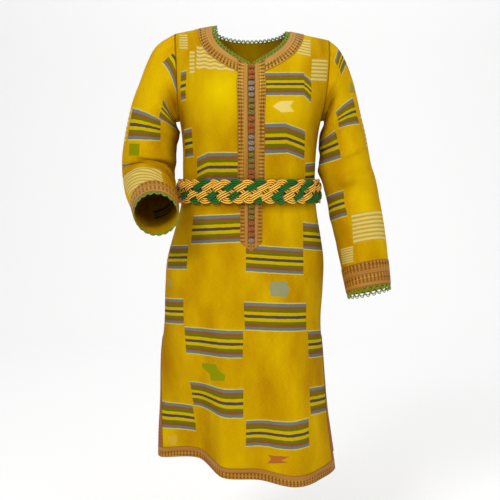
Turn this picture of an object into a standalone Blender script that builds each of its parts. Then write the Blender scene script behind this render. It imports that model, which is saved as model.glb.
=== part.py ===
"""Knee-length kaftan of strip-woven cloth, with set-in sleeves, braid trims, knotted buttons,
crochet edging and a plaited belt, in the hollow form that it has when it is worn.

Metres, +Z up. The front faces -Y, and left and right are the viewer's, so left is -X. The origin
is between the shoulder seams, on the centre line and at their height, where the garment is held up.
"""

import math

import bmesh
import bpy
import numpy as np

# Cloth, trims and seams
WALL = 0.0014            # thickness of the woven cloth
TRIM_WALL = 0.0012       # thickness of the braid trims
SEAM_GAP = 0.0003        # clear space between two sewn pieces
CENTRE = -0.002          # x of the centre front line
SLIT_HALF = 0.0006       # half the width of the front opening
HEM_Z = -1.0
SLIT_TOP_Z = -0.715      # the side seams are open below this
UNDERARM_Z = -0.21
FRONT_SLIT_END_Z = -0.485
PLACKET_TIP_Z = -0.507

# Rings of the body: height, place and half width from side to side, depth to the front and to
# the back, and how square the section is (2 is an ellipse)
RING_COLUMNS = ("z", "middle", "half", "front", "back", "square")
RINGS = (
    (-1.03, -0.0115, 0.213, 0.162, 0.150, 2.35),
    (-0.95, -0.0165, 0.2065, 0.157, 0.148, 2.35),
    (-0.87, -0.020, 0.198, 0.150, 0.143, 2.35),
    (-0.75, -0.0235, 0.191, 0.142, 0.137, 2.3),
    (-0.68, -0.0225, 0.185, 0.137, 0.134, 2.3),
    (-0.60, -0.019, 0.186, 0.131, 0.135, 2.3),
    (-0.53, -0.0155, 0.184, 0.127, 0.133, 2.25),
    (-0.475, -0.012, 0.173, 0.120, 0.122, 2.2),
    (-0.42, -0.009, 0.161, 0.112, 0.103, 2.2),
    (-0.365, -0.0075, 0.155, 0.106, 0.088, 2.2),
    (-0.32, -0.007, 0.155, 0.110, 0.086, 2.2),
    (-0.27, -0.0055, 0.1565, 0.122, 0.093, 2.25),
    (-0.21, -0.004, 0.1645, 0.135, 0.101, 2.3),
    (-0.16, -0.002, 0.178, 0.133, 0.104, 2.3),
    (-0.10, 0.0, 0.192, 0.125, 0.103, 2.3),
    (-0.05, 0.0, 0.198, 0.117, 0.100, 2.3),
    (0.03, 0.0, 0.204, 0.110, 0.096, 2.3),
)

# Shoulder line: x and height, outer point, neck point, neck point, outer point
SHOULDER_LINE = ((-0.200, -0.0118), (-0.177, -0.0074), (-0.090, 0.0095),
                 (0.090, -0.0040), (0.177, -0.0225), (0.200, -0.0274))
NECK_HALF = 0.090        # from the centre to the neck end of a shoulder seam
TRIM_ON_SHOULDER = 0.033  # width of the neck trim along the shoulder seam
BUST_Z = -0.22           # level where the front is deepest
BLADE_Z = -0.16          # level where the back is deepest
FRONT_ROUND = 1.7        # how fast the front falls forward from the shoulder line at the neck
BACK_ROUND = 1.8
OUTER_ROUND = 0.7        # more of it at the armholes

# Edge of the armholes: height, then x on the left and on the right
ARMHOLES = ((-0.21, -0.1685, 0.1605), (-0.185, -0.1690, 0.1640), (-0.15, -0.1700, 0.1690),
            (-0.10, -0.1710, 0.1735), (-0.05, -0.1735, 0.1760), (0.0, -0.1770, 0.1770))

# Neck edge: distance from the centre line, and height at the front and at the back
NECK_COLUMNS = ("side", "front", "back")
NECK_EDGE = (
    (0.0, -0.0940, -0.0240),
    (0.0070, -0.0905, -0.0238),
    (0.0258, -0.0795, -0.0228),
    (0.0455, -0.0670, -0.0205),
    (0.0640, -0.0525, -0.0165),
    (0.0780, -0.0380, -0.0115),
    (0.0865, -0.0225, -0.0060),
)
TRIM_AT_CENTRE = 0.0235  # and at the centre front and back
NECK_TRIM_ROWS = 2

# Height of the front hem above its level line, at x, and of the back hem
HEM_COLUMNS = ("x", "front", "back")
HEM_LINE = (
    (-0.215, 0.003, 0.012),
    (-0.125, 0.012, 0.004),
    (-0.070, -0.008, -0.004),
    (0.016, -0.018, -0.008),
    (0.105, -0.034, -0.008),
    (0.200, -0.023, -0.002),
)
HEM_SHIFT_TOP_Z = -0.75
FRONT_INSET = 0.030      # how far the front's open side edges draw in from the side line at the hem
BACK_INSET = 0.010

# Large folds of the skirt: x where each starts and where it meets the hem, the height of its
# start, its half width and its depth, outward when positive
FOLD_COLUMNS = ("x_top", "x_hem", "start", "width", "depth")
FRONT_FOLDS = (
    (0.085, 0.112, -0.52, 0.050, 0.012),
    (0.010, 0.018, -0.60, 0.032, -0.009),
    (-0.045, -0.062, -0.62, 0.026, 0.008),
    (0.150, 0.163, -0.60, 0.022, -0.008),
    (-0.100, -0.165, -0.70, 0.030, 0.006),
)
BACK_FOLDS = (
    (-0.120, -0.150, -0.55, 0.032, 0.010),
    (-0.070, -0.092, -0.50, 0.026, -0.010),
    (-0.015, -0.025, -0.56, 0.034, 0.012),
    (0.045, 0.050, -0.52, 0.028, -0.010),
    (0.100, 0.118, -0.58, 0.034, 0.010),
)
# The front skirt steps back on its left part, from STEP_X outwards
STEP_X = -0.062
STEP_WIDTH = 0.062
STEP_DEPTH = 0.064
STEP_START_Z = -0.56

# Rows of the body's grids below the underarm: heights from the hem up
TRIM_WIDTH = 0.024       # hem and side slit trims
BELT_Z = -0.373
BELT_HALF = 0.025
BODY_ROWS = (HEM_Z, HEM_Z + TRIM_WIDTH, -0.93, -0.885, -0.84, -0.795, -0.755, SLIT_TOP_Z, -0.675, -0.635,
             -0.595, -0.55, PLACKET_TIP_Z, FRONT_SLIT_END_Z, -0.44, BELT_Z - BELT_HALF, BELT_Z,
             BELT_Z + BELT_HALF, -0.30, -0.255, UNDERARM_Z)
ARMHOLE_ROWS = 9
SHOULDER_ROWS = 3
SIDE_HOLD = 1.6          # how closely the upper columns keep to the armhole's line near the sides
PLACKET_GAP = 0.0072     # from the centre to the placket bands, which the buttons fill
PLACKET_WIDE = 0.0300    # from the centre to the bands' outer edge, above the belt and below it
PLACKET_NARROW = 0.0245
PLACKET_TIP = (0.0, 0.72, 0.97)  # how far the bands reach down their last row, from their outer edge
SIDE_COLUMNS = 7         # columns between the placket and the slit trim, on each half of the front
BACK_COLUMNS = 15

# Sleeves: centre of each ring, how far its outer end is turned down from straight up in degrees,
# and its half sizes outward and forward. The first ring is the armhole.
SLEEVE_COLUMNS = ("x", "y", "z", "tilt", "outward", "forward")
SLEEVE_RIGHT = (
    (0.1690, 0.0, -0.116, 5, 0.0940, 0.052),
    (0.1847, 0.0, -0.1255, 11.3, 0.0850, 0.056),
    (0.1950, 0.0, -0.149, 21, 0.0745, 0.060),
    (0.2000, 0.0, -0.177, 34, 0.0658, 0.062),
    (0.2047, 0.002, -0.216, 54.5, 0.0573, 0.063),
    (0.2120, 0.004, -0.262, 73, 0.0580, 0.063),
    (0.2185, 0.005, -0.312, 79, 0.0610, 0.063),
    (0.2300, 0.002, -0.355, 78.5, 0.0615, 0.062),
    (0.2400, -0.007, -0.405, 78.5, 0.0610, 0.061),
    (0.2510, -0.018, -0.465, 78.5, 0.0595, 0.059),
    (0.2610, -0.034, -0.530, 78.5, 0.0560, 0.056),
    (0.2700, -0.052, -0.598, 78.5, 0.0515, 0.0525),
)
SLEEVE_LEFT = (
    (-0.1715, 0.0, -0.109, 3, 0.0965, 0.052),
    (-0.1987, 0.0, -0.124, 15, 0.0877, 0.056),
    (-0.2105, 0.0, -0.1465, 26, 0.0778, 0.060),
    (-0.2180, 0.0, -0.177, 41, 0.0697, 0.062),
    (-0.2265, 0.002, -0.210, 63, 0.0645, 0.063),
    (-0.2360, 0.004, -0.254, 78, 0.0630, 0.064),
    (-0.2430, 0.008, -0.297, 86, 0.0630, 0.064),
    (-0.2430, 0.002, -0.331, 90, 0.0625, 0.062),
    (-0.2390, -0.022, -0.354, 90, 0.0610, 0.058),
    (-0.2330, -0.060, -0.369, 90, 0.0590, 0.060),
    (-0.2230, -0.110, -0.385, 90, 0.0560, 0.057),
    (-0.2130, -0.160, -0.401, 90, 0.0520, 0.053),
    (-0.2060, -0.207, -0.417, 90, 0.0485, 0.049),
)
CAP_FADE = 0.09          # length over which the armhole's outline turns into a plain ring
CUFF_WIDTH = 0.056       # width of the cuff trims
SLEEVE_STEPS = 24        # rings of each sleeve above its cuff trim

# Large folds of the sleeves: distance from the armhole, angle from the outer side towards the
# front in degrees, how far the fold climbs as it goes round, its half width, its spread in
# degrees and its depth
CREASE_COLUMNS = ("place", "angle", "climb", "width", "spread", "depth")
CREASES_RIGHT = (
    (0.150, 140, 0.040, 0.016, 55, -0.0045),
    (0.200, 150, 0.035, 0.015, 60, 0.0040),
    (0.255, 95, 0.030, 0.015, 60, -0.0040),
    (0.310, 120, 0.020, 0.015, 60, 0.0035),
)
CREASES_LEFT = (
    (0.140, 130, 0.040, 0.016, 60, -0.0040),
    (0.195, 120, 0.030, 0.015, 60, 0.0040),
    (0.250, 100, 0.015, 0.015, 55, -0.0035),
)

# Crochet edging: length of one loop, and its height, for the neck and for the cuffs
LACE_WALL = 0.0014
NECK_LOOP = (0.020, 0.0115)
CUFF_LOOP = (0.016, 0.0130)
LOOP_FOOT = 0.18         # share of the height that is a solid band
LOOPS_UPRIGHT = 0.048    # within this distance of the centre front the loops turn upright
LOOP_OUTLINE = ((0.0, 0.0), (1.0, 0.0), (1.0, LOOP_FOOT), (0.64, 1.0), (0.36, 1.0), (0.0, LOOP_FOOT))
LOOP_HOLE = ((0.24, 0.24), (0.76, 0.24), (0.5, 0.80))
LOOP_FACES = ((0, 1, 7), (0, 7, 6), (1, 2, 7), (2, 3, 7), (3, 8, 7), (3, 4, 8), (4, 5, 6), (4, 6, 8),
              (5, 0, 6))

# Belt: a thick plait laid round the waist
BELT_THICK = 0.0135
BELT_PITCH = 0.0245      # length of one crossing of the plait
BELT_STEPS = 4           # points along each crossing
BELT_RELIEF = 0.0022
BELT_LEAN = 0.9          # how far the crossings lean, in pitches from edge to edge
BELT_LIFT = 0.0006       # belt off the cloth
BELT_BRIDGE = 0.0075     # more lift over the buttons
BRIDGE_HALF = (0.014, 0.046)  # from the centre line to where that lift starts to fall, and ends
BELT_PROFILE = ((-0.96, 0.30), (-0.60, 0.92), (0.0, 0.84), (0.60, 0.92), (0.96, 0.30))
BELT_INNER = (0.82, -0.82)

# Knotted buttons
BUTTONS = 31
BUTTON_TOP_Z = -0.0965
BUTTON_PITCH = 0.01285
BUTTON_SIZE = (0.0120, 0.0070, 0.0100)

CLOTH_COLOUR = (0.72, 0.46, 0.01)
BRAID_COLOUR = (0.42, 0.20, 0.05)
LACE_COLOUR = (0.10, 0.26, 0.02)
BELT_COLOUR = (0.66, 0.42, 0.08)
BUTTON_COLOURS = ((0.50, 0.20, 0.05), (0.30, 0.27, 0.24), (0.28, 0.27, 0.05))


def column(table, names, name):
    """One named column of a table, as an array."""
    return np.array([row[names.index(name)] for row in table])


def ease(t):
    """Smooth step from 0 to 1."""
    t = np.clip(t, 0.0, 1.0)
    return t * t * (3.0 - 2.0 * t)


def smooth_curve(xs, ys, at):
    """Cubic curve through points, each end slope the mean of the stretches that meet there."""
    slopes = np.gradient(ys, xs)
    i = np.clip(np.searchsorted(xs, at) - 1, 0, len(xs) - 2)
    step = xs[i + 1] - xs[i]
    t = np.clip((at - xs[i]) / step, 0.0, 1.0)
    rise = t * t * (3.0 - 2.0 * t)
    start = t * (1.0 - t) ** 2 * step * slopes[i]
    end = -t * t * (1.0 - t) * step * slopes[i + 1]
    return ys[i] * (1.0 - rise) + ys[i + 1] * rise + start + end


def ring_value(name, z):
    return smooth_curve(column(RINGS, RING_COLUMNS, "z"), column(RINGS, RING_COLUMNS, name), z)


def shoulder_z(x):
    line = np.array(SHOULDER_LINE)
    return np.interp(x, line[:, 0], line[:, 1])


def armhole_x(side, z):
    table = np.array(ARMHOLES)
    return smooth_curve(table[:, 0], table[:, 1 if side < 0 else 2], z)


def fold_offset(folds, x, z):
    """Sum of the folds: each a ridge across x that grows and spreads from its start to the hem."""
    total = np.zeros(np.shape(x))
    for row in folds:
        fold = dict(zip(FOLD_COLUMNS, row))
        share = np.clip((fold["start"] - z) / (fold["start"] - HEM_Z), 0.0, 1.0)
        place = fold["x_top"] + (fold["x_hem"] - fold["x_top"]) * share
        across = (x - place) / (fold["width"] * (0.7 + 0.3 * share))
        total = total + fold["depth"] * ease(share * 1.25) * np.exp(-across ** 2)
    return total


def body_y(side, x, z):
    """Depth of the body's outer surface: a squared ellipse that rounds over the shoulder line.

    side is -1 for the front and 1 for the back.
    """
    share = np.clip(np.abs(x - ring_value("middle", z)) / ring_value("half", z), 0.0, 1.0)
    square = ring_value("square", z)
    across = (1.0 - share ** square) ** (1.0 / square)
    deepest, roundness = (BUST_Z, FRONT_ROUND) if side < 0 else (BLADE_Z, BACK_ROUND)
    roundness = roundness + OUTER_ROUND * share ** 3
    top = shoulder_z(x)
    down = np.clip((top - z) / (top - deepest), 0.0, 1.0)
    fall = (1.0 - (1.0 - down) ** roundness) ** (1.0 / roundness)
    depth = ring_value("front" if side < 0 else "back", z) * across * fall
    depth = depth + fold_offset(FRONT_FOLDS if side < 0 else BACK_FOLDS, x, z) * across
    if side < 0:
        grown = ease((STEP_START_Z - z) / (STEP_START_Z - HEM_Z))
        depth = depth - STEP_DEPTH * grown * ease((STEP_X - x) / STEP_WIDTH) * (1.0 - share ** 6)
    return side * (depth + SEAM_GAP / 2)


def body_points(side, x, z):
    return np.stack([x, body_y(side, x, z), z], axis=-1)


def unit(vectors):
    return vectors / np.linalg.norm(vectors, axis=-1, keepdims=True)


def hem_shift(side, x, z):
    """How far a point below HEM_SHIFT_TOP_Z moves up so that the lowest row follows the hem."""
    heights = column(HEM_LINE, HEM_COLUMNS, "front" if side < 0 else "back")
    rise = smooth_curve(column(HEM_LINE, HEM_COLUMNS, "x"), heights, x)
    return rise * ease((HEM_SHIFT_TOP_Z - z) / (HEM_SHIFT_TOP_Z - HEM_Z))


def section(side, z):
    """Closely spaced x and arc length across a body ring, the arc measured from the centre line."""
    turn = np.linspace(-1.0, 1.0, 401) * math.pi / 2
    x = ring_value("middle", z) + ring_value("half", z) * np.sin(turn)
    y = body_y(side, x, np.full(x.shape, z))
    arc = np.concatenate([[0.0], np.cumsum(np.hypot(np.diff(x), np.diff(y)))])
    return x, arc - np.interp(CENTRE, x, arc)


def placket_half(z):
    narrow = ease((BELT_Z + BELT_HALF - z) / (2 * BELT_HALF))
    return PLACKET_WIDE + (PLACKET_NARROW - PLACKET_WIDE) * narrow


def front_columns(z, left, right):
    """Places across the front between its edges: trims, even columns, placket and opening."""
    band = placket_half(z)
    sides = [np.linspace(band, edge - TRIM_WIDTH, SIDE_COLUMNS) for edge in (-left, right)]
    middle = [-band, -PLACKET_GAP, -SLIT_HALF, SLIT_HALF, PLACKET_GAP, band]
    return np.concatenate([[left], -sides[0][:0:-1], middle, sides[1][1:], [right]])


def back_columns(z, left, right):
    inner = np.linspace(left + TRIM_WIDTH, right - TRIM_WIDTH, BACK_COLUMNS)
    return np.concatenate([[left], inner, [right]])


def lower_rows(side, columns):
    """Grid of the body from the hem to the underarm, its columns at even arc lengths."""
    inset = FRONT_INSET if side < 0 else BACK_INSET
    rows = []
    for z in BODY_ROWS:
        x, arc = section(side, z)
        drawn_in = inset * ease((SLIT_TOP_Z - z) / (SLIT_TOP_Z - HEM_Z))
        places = columns(z, arc[0] + drawn_in, arc[-1] - drawn_in)
        at = np.interp(places, arc, x)
        rows.append(body_points(side, at, z + hem_shift(side, at, np.full(at.shape, z))))
    return np.array(rows)


def neck_half(side, sign):
    """Neck edge and the trim's outer edge on one half: distance from the centre, and height.

    The outer edge runs beside the neck edge at the trim's width, and ends on the shoulder line.
    """
    away = np.append(column(NECK_EDGE, NECK_COLUMNS, "side"), NECK_HALF)
    height = np.append(column(NECK_EDGE, NECK_COLUMNS, "front" if side < 0 else "back"),
                       shoulder_z(CENTRE + sign * NECK_HALF))
    run = np.concatenate([[0.0], np.cumsum(np.hypot(np.diff(away), np.diff(height)))])
    fine = np.linspace(0.0, run[-1], 200)
    x, z = smooth_curve(run, away, fine), smooth_curve(run, height, fine)
    slope_x, slope_z = np.gradient(x, fine), np.gradient(z, fine)
    steep = np.hypot(slope_x, slope_z)
    share = fine / fine[-1]
    width = TRIM_AT_CENTRE + (TRIM_ON_SHOULDER - TRIM_AT_CENTRE) * share
    out_x = x + width * slope_z / steep
    out_z = z - width * slope_x / steep
    end_x = NECK_HALF + TRIM_ON_SHOULDER
    out_x = out_x + (end_x - out_x[-1]) * share ** 4
    out_z = out_z + (shoulder_z(CENTRE + sign * end_x) - out_z[-1]) * share ** 4
    return (x, z), (out_x, out_z)


def spaced_along(curve, start, share):
    """Points at shares of a curve's length, from where it passes x = start to its end."""
    x, z = curve
    run = np.concatenate([[0.0], np.cumsum(np.hypot(np.diff(x), np.diff(z)))])
    first = np.interp(start, x, run)
    places = first + (run[-1] - first) * share
    return np.interp(places, run, x), np.interp(places, run, z)


def neck_curves(side, bottom_x):
    """Neck edge and the trim's outer edge, with one point for each column of the body's grid."""
    band = PLACKET_WIDE + 1e-6 if side < 0 else 0.0
    away = np.abs(bottom_x - CENTRE)
    edges = []
    for kind in (0, 1):
        x, z = bottom_x.copy(), np.zeros(len(bottom_x))
        for sign, end in ((-1, 0), (1, -1)):
            curve = neck_half(side, sign)[kind]
            inside = (away <= band) & (np.sign(bottom_x - CENTRE) == sign)
            outside = (away > band) & (np.sign(bottom_x - CENTRE) == sign)
            level = away[inside] if kind == 0 else np.full(inside.sum(), band)
            z[inside] = np.interp(level, curve[0], curve[1])
            share = (away[outside] - band) / (away[end] - band)
            out_x, z[outside] = spaced_along(curve, band, share)
            x[outside] = CENTRE + sign * out_x
        edges.append((x, z))
    return edges


def edge_run(side_sign):
    """x and z up one armhole's edge and in along the shoulder seam to the neck trim."""
    top_x = armhole_x(side_sign, 0.0)
    top_z = shoulder_z(top_x)
    turn = np.linspace(0.0, math.pi, ARMHOLE_ROWS + 1)
    z_arm = UNDERARM_Z + (top_z - UNDERARM_Z) * (1.0 - np.cos(turn)) / 2
    x_arm = armhole_x(side_sign, z_arm)
    x_arm[0] = ring_value("middle", UNDERARM_Z) + side_sign * ring_value("half", UNDERARM_Z)
    x_arm[-1] = top_x
    x_end = CENTRE + side_sign * (NECK_HALF + TRIM_ON_SHOULDER)
    x_seam = np.linspace(top_x, x_end, SHOULDER_ROWS + 1)[1:]
    return np.concatenate([x_arm, x_seam]), np.concatenate([z_arm, shoulder_z(x_seam)])


def upper_rows(side, underarm_row):
    """Grid from the underarm to the neck edge.

    Each column runs straight from the underarm row to the trim's outer edge, and near the sides
    it is drawn after the armhole and the shoulder seam. The last rows cross the neck trim.
    """
    x0 = underarm_row[:, 0]
    (x_in, z_in), (x_out, z_out) = neck_curves(side, x0)
    count = ARMHOLE_ROWS + SHOULDER_ROWS
    near = np.interp(x0, [x0[0], CENTRE, x0[-1]], [1.0, 0.0, 1.0]) ** SIDE_HOLD
    left = x0 < CENTRE
    runs = {True: edge_run(-1), False: edge_run(1)}
    rows = []
    for r in range(1, count + 1):
        q = r / count
        x = (1.0 - q) * x0 + q * x_out
        z = (1.0 - q) * UNDERARM_Z + q * z_out
        for is_left, end in ((True, 0), (False, -1)):
            x_run, z_run = runs[is_left]
            bend_x = x_run[r] - ((1.0 - q) * x0[end] + q * x_out[end])
            bend_z = z_run[r] - ((1.0 - q) * UNDERARM_Z + q * z_out[end])
            weight = np.where(left == is_left, near, 0.0)
            x = x + weight * bend_x
            z = z + weight * bend_z
        rows.append((x, z))
    for r in range(1, NECK_TRIM_ROWS + 1):
        q = r / NECK_TRIM_ROWS
        x = (1.0 - q) * x_out + q * x_in
        z = (1.0 - q) * z_out + q * z_in
        z[[0, -1]] = shoulder_z(x[[0, -1]])
        rows.append((x, z))
    return np.array([body_points(side, x, z) for x, z in rows])


def grid_normals(grid, closed=False, sign=1.0):
    """Unit normals of a grid of points whose rows go up and columns go to +X."""
    if closed:
        across = np.roll(grid, -1, axis=1) - np.roll(grid, 1, axis=1)
    else:
        across = np.gradient(grid, axis=1)
    return sign * unit(np.cross(across, np.gradient(grid, axis=0)))


def body_panel(side, columns):
    """Outer points and normals of the front or back, the normals flat along the seams."""
    lower = lower_rows(side, columns)
    grid = np.concatenate([lower, upper_rows(side, lower[-1])])
    normals = grid_normals(grid, sign=-side)
    slit_row = BODY_ROWS.index(SLIT_TOP_Z)
    shoulder_row = len(BODY_ROWS) - 1 + ARMHOLE_ROWS
    for rows in (slice(slit_row, len(BODY_ROWS)), slice(shoulder_row, None)):
        for edge in (0, -1):
            normals[rows, edge, 1] = 0.0
    return grid, unit(normals)


def sheet_solid(outer, inner, faces, flip=False):
    """Vertices and triangles of a wall: one side, the other side turned over, and a rim.

    Vertices that nothing uses are left out, and so are triangles with two corners in one place.
    """
    _, first, index = np.unique(np.round(outer, 7), axis=0, return_index=True, return_inverse=True)
    index = first[index.reshape(-1)]
    triangles = [tuple(index[list(face)]) for face in faces]
    triangles = [face for face in triangles if len(set(face)) == 3]
    if flip:
        triangles = [face[::-1] for face in triangles]
    count = len(outer)
    edges = {(face[k], face[(k + 1) % 3]) for face in triangles for k in range(3)}
    rim = []
    for a, b in sorted(edges):
        if (b, a) not in edges:
            rim += [(b, a, a + count), (b, a + count, b + count)]
    back = [(c + count, b + count, a + count) for a, b, c in triangles]
    every = np.array(triangles + back + rim)
    used, compact = np.unique(every, return_inverse=True)
    return np.concatenate([outer, inner])[used], compact.reshape(every.shape)


def grid_faces(rows, columns, closed=False, keep=None, turned=()):
    """Triangles over a grid, two for each kept cell, split the other way in turned columns."""
    faces = []
    for r in range(rows - 1):
        for c in range(columns if closed else columns - 1):
            if keep is None or keep[r, c]:
                a, b = r * columns + c, r * columns + (c + 1) % columns
                if c in turned:
                    faces += [(a, b, a + columns), (b, b + columns, a + columns)]
                else:
                    faces += [(a, b, b + columns), (a, b + columns, a + columns)]
    return faces


def grid_solid(outer, inner, closed=False, keep=None, flip=False, turned=()):
    faces = grid_faces(outer.shape[0], outer.shape[1], closed, keep, turned)
    return sheet_solid(outer.reshape(-1, 3), inner.reshape(-1, 3), faces, flip)


def make_material(name, colour, roughness):
    material = bpy.data.materials.new(name)
    material.use_nodes = True
    shader = material.node_tree.nodes["Principled BSDF"]
    shader.inputs["Base Color"].default_value = (*colour, 1.0)
    shader.inputs["Roughness"].default_value = roughness
    shader.inputs["Metallic"].default_value = 0.0
    return material


def add_piece(name, solid, material):
    """One named object from vertices and triangles, with its faces shaded smooth."""
    vertices, triangles = solid
    mesh = bpy.data.meshes.new(name)
    mesh.from_pydata(vertices.tolist(), [], triangles.tolist())
    mesh.materials.append(material)
    mesh.shade_smooth()
    mesh.set_sharp_from_angle(angle=math.radians(50))
    piece = bpy.data.objects.new(name, mesh)
    bpy.context.collection.objects.link(piece)
    return piece


def laid_on(points, normals, closed=False, keep=None, flip=False, turned=()):
    """A trim over a panel's own points: SEAM_GAP above them and TRIM_WALL thick."""
    inner = points + normals * SEAM_GAP
    outer = points + normals * (SEAM_GAP + TRIM_WALL)
    return grid_solid(outer, inner, closed, keep, flip, turned)


def part_way(points, normals, start, end, share):
    """A row of points between two rows of a grid, and the normals there."""
    row = points[start] * (1.0 - share) + points[end] * share
    return row, unit(normals[start] * (1.0 - share) + normals[end] * share)


def make_body(cloth):
    """Front with its centre opening, and back. Returns their grids for the trims."""
    grids = {}
    for name, side, columns in (("front", -1, front_columns), ("back", 1, back_columns)):
        grid, normals = body_panel(side, columns)
        keep = np.ones((grid.shape[0] - 1, grid.shape[1] - 1), bool)
        if side < 0:
            keep[BODY_ROWS.index(FRONT_SLIT_END_Z):, opening_column(grid)] = False
        solid = grid_solid(grid, grid - normals * WALL, keep=keep, flip=side > 0)
        add_piece(name, solid, cloth)
        grids[name] = (grid, normals)
    return grids


def opening_column(grid):
    """Column on the left of the centre opening."""
    return grid.shape[1] // 2 - 1


def armhole_loop(grids, side_sign):
    """Outer and inner points round an armhole, and the way out of the panels across their edges.

    The loop starts at the underarm and goes up the front and down the back.
    """
    end = 0 if side_sign < 0 else -1
    first = len(BODY_ROWS) - 1
    parts = []
    for name in ("front", "back"):
        grid, normals = grids[name]
        points = grid[first:first + ARMHOLE_ROWS + 1, end]
        normal = normals[first:first + ARMHOLE_ROWS + 1, end]
        along = unit(np.gradient(points, axis=0))
        away = unit(np.cross(normal, along))
        inside = grid[first:first + ARMHOLE_ROWS + 1, 1 if end == 0 else -2]
        away = away * np.sign(np.sum(away * (points - inside), axis=1).sum())
        away[0] = (0.0, 0.0, 1.0)
        away[-1] = unit(np.array([away[-1, 0], 0.0, away[-1, 2]]))
        parts.append((points, points - normal * WALL, away))
    front, back = parts
    joined = []
    for a, b in zip(front, back):
        joined.append(np.concatenate([a, b[-2:0:-1]]))
        for place, other in ((0, 0), (ARMHOLE_ROWS, -1)):
            joined[-1][place] = (a[other] + b[other]) / 2
    outer, inner, away = joined
    return outer, inner, unit(away)


def crease_offset(creases, place, angle):
    """Sum of a sleeve's folds at a distance along it and an angle round it."""
    total = np.zeros(np.broadcast(place, angle).shape)
    for row in creases:
        crease = dict(zip(CREASE_COLUMNS, row))
        turn = (np.degrees(angle) - crease["angle"] + 180.0) % 360.0 - 180.0
        along = (place - crease["place"] - crease["climb"] * turn / 90.0) / crease["width"]
        total = total + crease["depth"] * np.exp(-along ** 2 - (turn / crease["spread"]) ** 2)
    return total


def sleeve_rings(table, loop, creases, side_sign):
    """Outer points of a sleeve: ellipses along its path, the first ones shaped by the armhole."""
    outer, inner, away = loop
    count = len(outer)
    known = np.arange(len(table), dtype=float)
    values = {name: column(table, SLEEVE_COLUMNS, name) for name in SLEEVE_COLUMNS}
    fine = np.linspace(0.0, known[-1], 600)
    path = np.stack([smooth_curve(known, values[name], fine) for name in "xyz"], axis=1)
    length = np.concatenate([[0.0], np.cumsum(np.linalg.norm(np.diff(path, axis=0), axis=1))])
    total = length[-1]
    places = np.concatenate([np.linspace(0.0, total - CUFF_WIDTH, SLEEVE_STEPS + 1),
                             [total - CUFF_WIDTH / 2, total]])
    at = np.interp(places, length, fine)
    centre = np.stack([smooth_curve(known, values[name], at) for name in "xyz"], axis=1)
    tilt = np.radians(smooth_curve(known, values["tilt"], at))
    outward = smooth_curve(known, values["outward"], at)
    forward = smooth_curve(known, values["forward"], at)
    along = unit(np.stack([np.interp(at, fine, np.gradient(path[:, k], length)) for k in range(3)], axis=1))
    end_way = np.stack([side_sign * np.sin(tilt), np.zeros(len(at)), np.cos(tilt)], axis=1)
    front_way = side_sign * unit(np.cross(along, end_way))
    offset = outer - centre[0]
    armhole_angle = np.arctan2(offset @ front_way[0] / forward[0], offset @ end_way[0] / outward[0])
    armhole_angle = np.unwrap(np.where(armhole_angle < -3.1, armhole_angle + 2 * math.pi, armhole_angle))
    plain_angle = math.pi - 2 * math.pi * np.arange(count) / count
    fade = ease(places / CAP_FADE)[:, None]
    angle = (1.0 - fade) * armhole_angle[None, :] + fade * plain_angle[None, :]
    size = 1.0 + crease_offset(creases, places[:, None], angle) / forward[:, None]
    rings = centre[:, None] + size[..., None] * (
        (outward[:, None] * np.cos(angle))[..., None] * end_way[:, None]
        + (forward[:, None] * np.sin(angle))[..., None] * front_way[:, None])
    rings = rings + (1.0 - fade)[..., None] * (outer - rings[0])[None]
    rings[0] = outer + away * SEAM_GAP
    return rings


def make_sleeve(name, table, creases, grids, side_sign, cloth):
    """A set-in sleeve. Returns its grid for the cuff's trim and edging."""
    loop = armhole_loop(grids, side_sign)
    rings = sleeve_rings(table, loop, creases, side_sign)
    normals = grid_normals(rings, closed=True)
    middle = rings.mean(axis=1, keepdims=True)
    sign = np.sign(np.sum(normals * (rings - middle)))
    normals = normals * sign
    inner = rings - normals * WALL
    inner[0] = loop[1] + loop[2] * SEAM_GAP
    add_piece(name, grid_solid(rings, inner, closed=True, flip=sign < 0), cloth)
    return rings, normals, sign


def make_cuff_trim(name, sleeve, braid):
    rings, normals, sign = sleeve
    add_piece(name, laid_on(rings[-3:], normals[-3:], closed=True, flip=sign < 0), braid)


def make_hem_and_slit_trims(grids, braid):
    """Braid along both hems, and up the open side edges."""
    top = BODY_ROWS.index(SLIT_TOP_Z)
    for name, (grid, normals) in grids.items():
        flip = name == "back"
        add_piece("hem_trim_" + name, laid_on(grid[:2], normals[:2], flip=flip), braid)
        step = np.linalg.norm(grid[2] - grid[1], axis=1).mean()
        start, start_normals = part_way(grid, normals, 1, 2, SEAM_GAP * 2 / step)
        points = np.concatenate([[start], grid[2:top + 1]])
        ways = np.concatenate([[start_normals], normals[2:top + 1]])
        for side, picked in (("left", slice(0, 2)), ("right", slice(-2, None))):
            solid = laid_on(points[:, picked], ways[:, picked], flip=flip)
            add_piece("slit_trim_" + name + "_" + side, solid, braid)


def make_placket(grids, braid):
    """Two bands down the front opening, which end in a point."""
    grid, normals = grids["front"]
    slit = opening_column(grid)
    bottom = BODY_ROWS.index(FRONT_SLIT_END_Z)
    for name, picked in (("placket_left", (slit - 2, slit - 1, slit)),
                         ("placket_right", (slit + 1, slit + 2, slit + 3))):
        outer_first = name.endswith("left")
        shares = np.array(PLACKET_TIP if outer_first else PLACKET_TIP[::-1])[:, None]
        cols = list(picked)
        tip = grid[bottom, cols] * (1.0 - shares) + grid[bottom - 1, cols] * shares
        points = np.concatenate([[tip], grid[bottom:, cols]])
        ways = np.concatenate([[normals[bottom, cols]], normals[bottom:, cols]])
        keep = np.ones((len(points) - 1, 2), bool)
        keep[1:, 1 if outer_first else 0] = False
        add_piece(name, laid_on(points, ways, keep=keep), braid)


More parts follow.
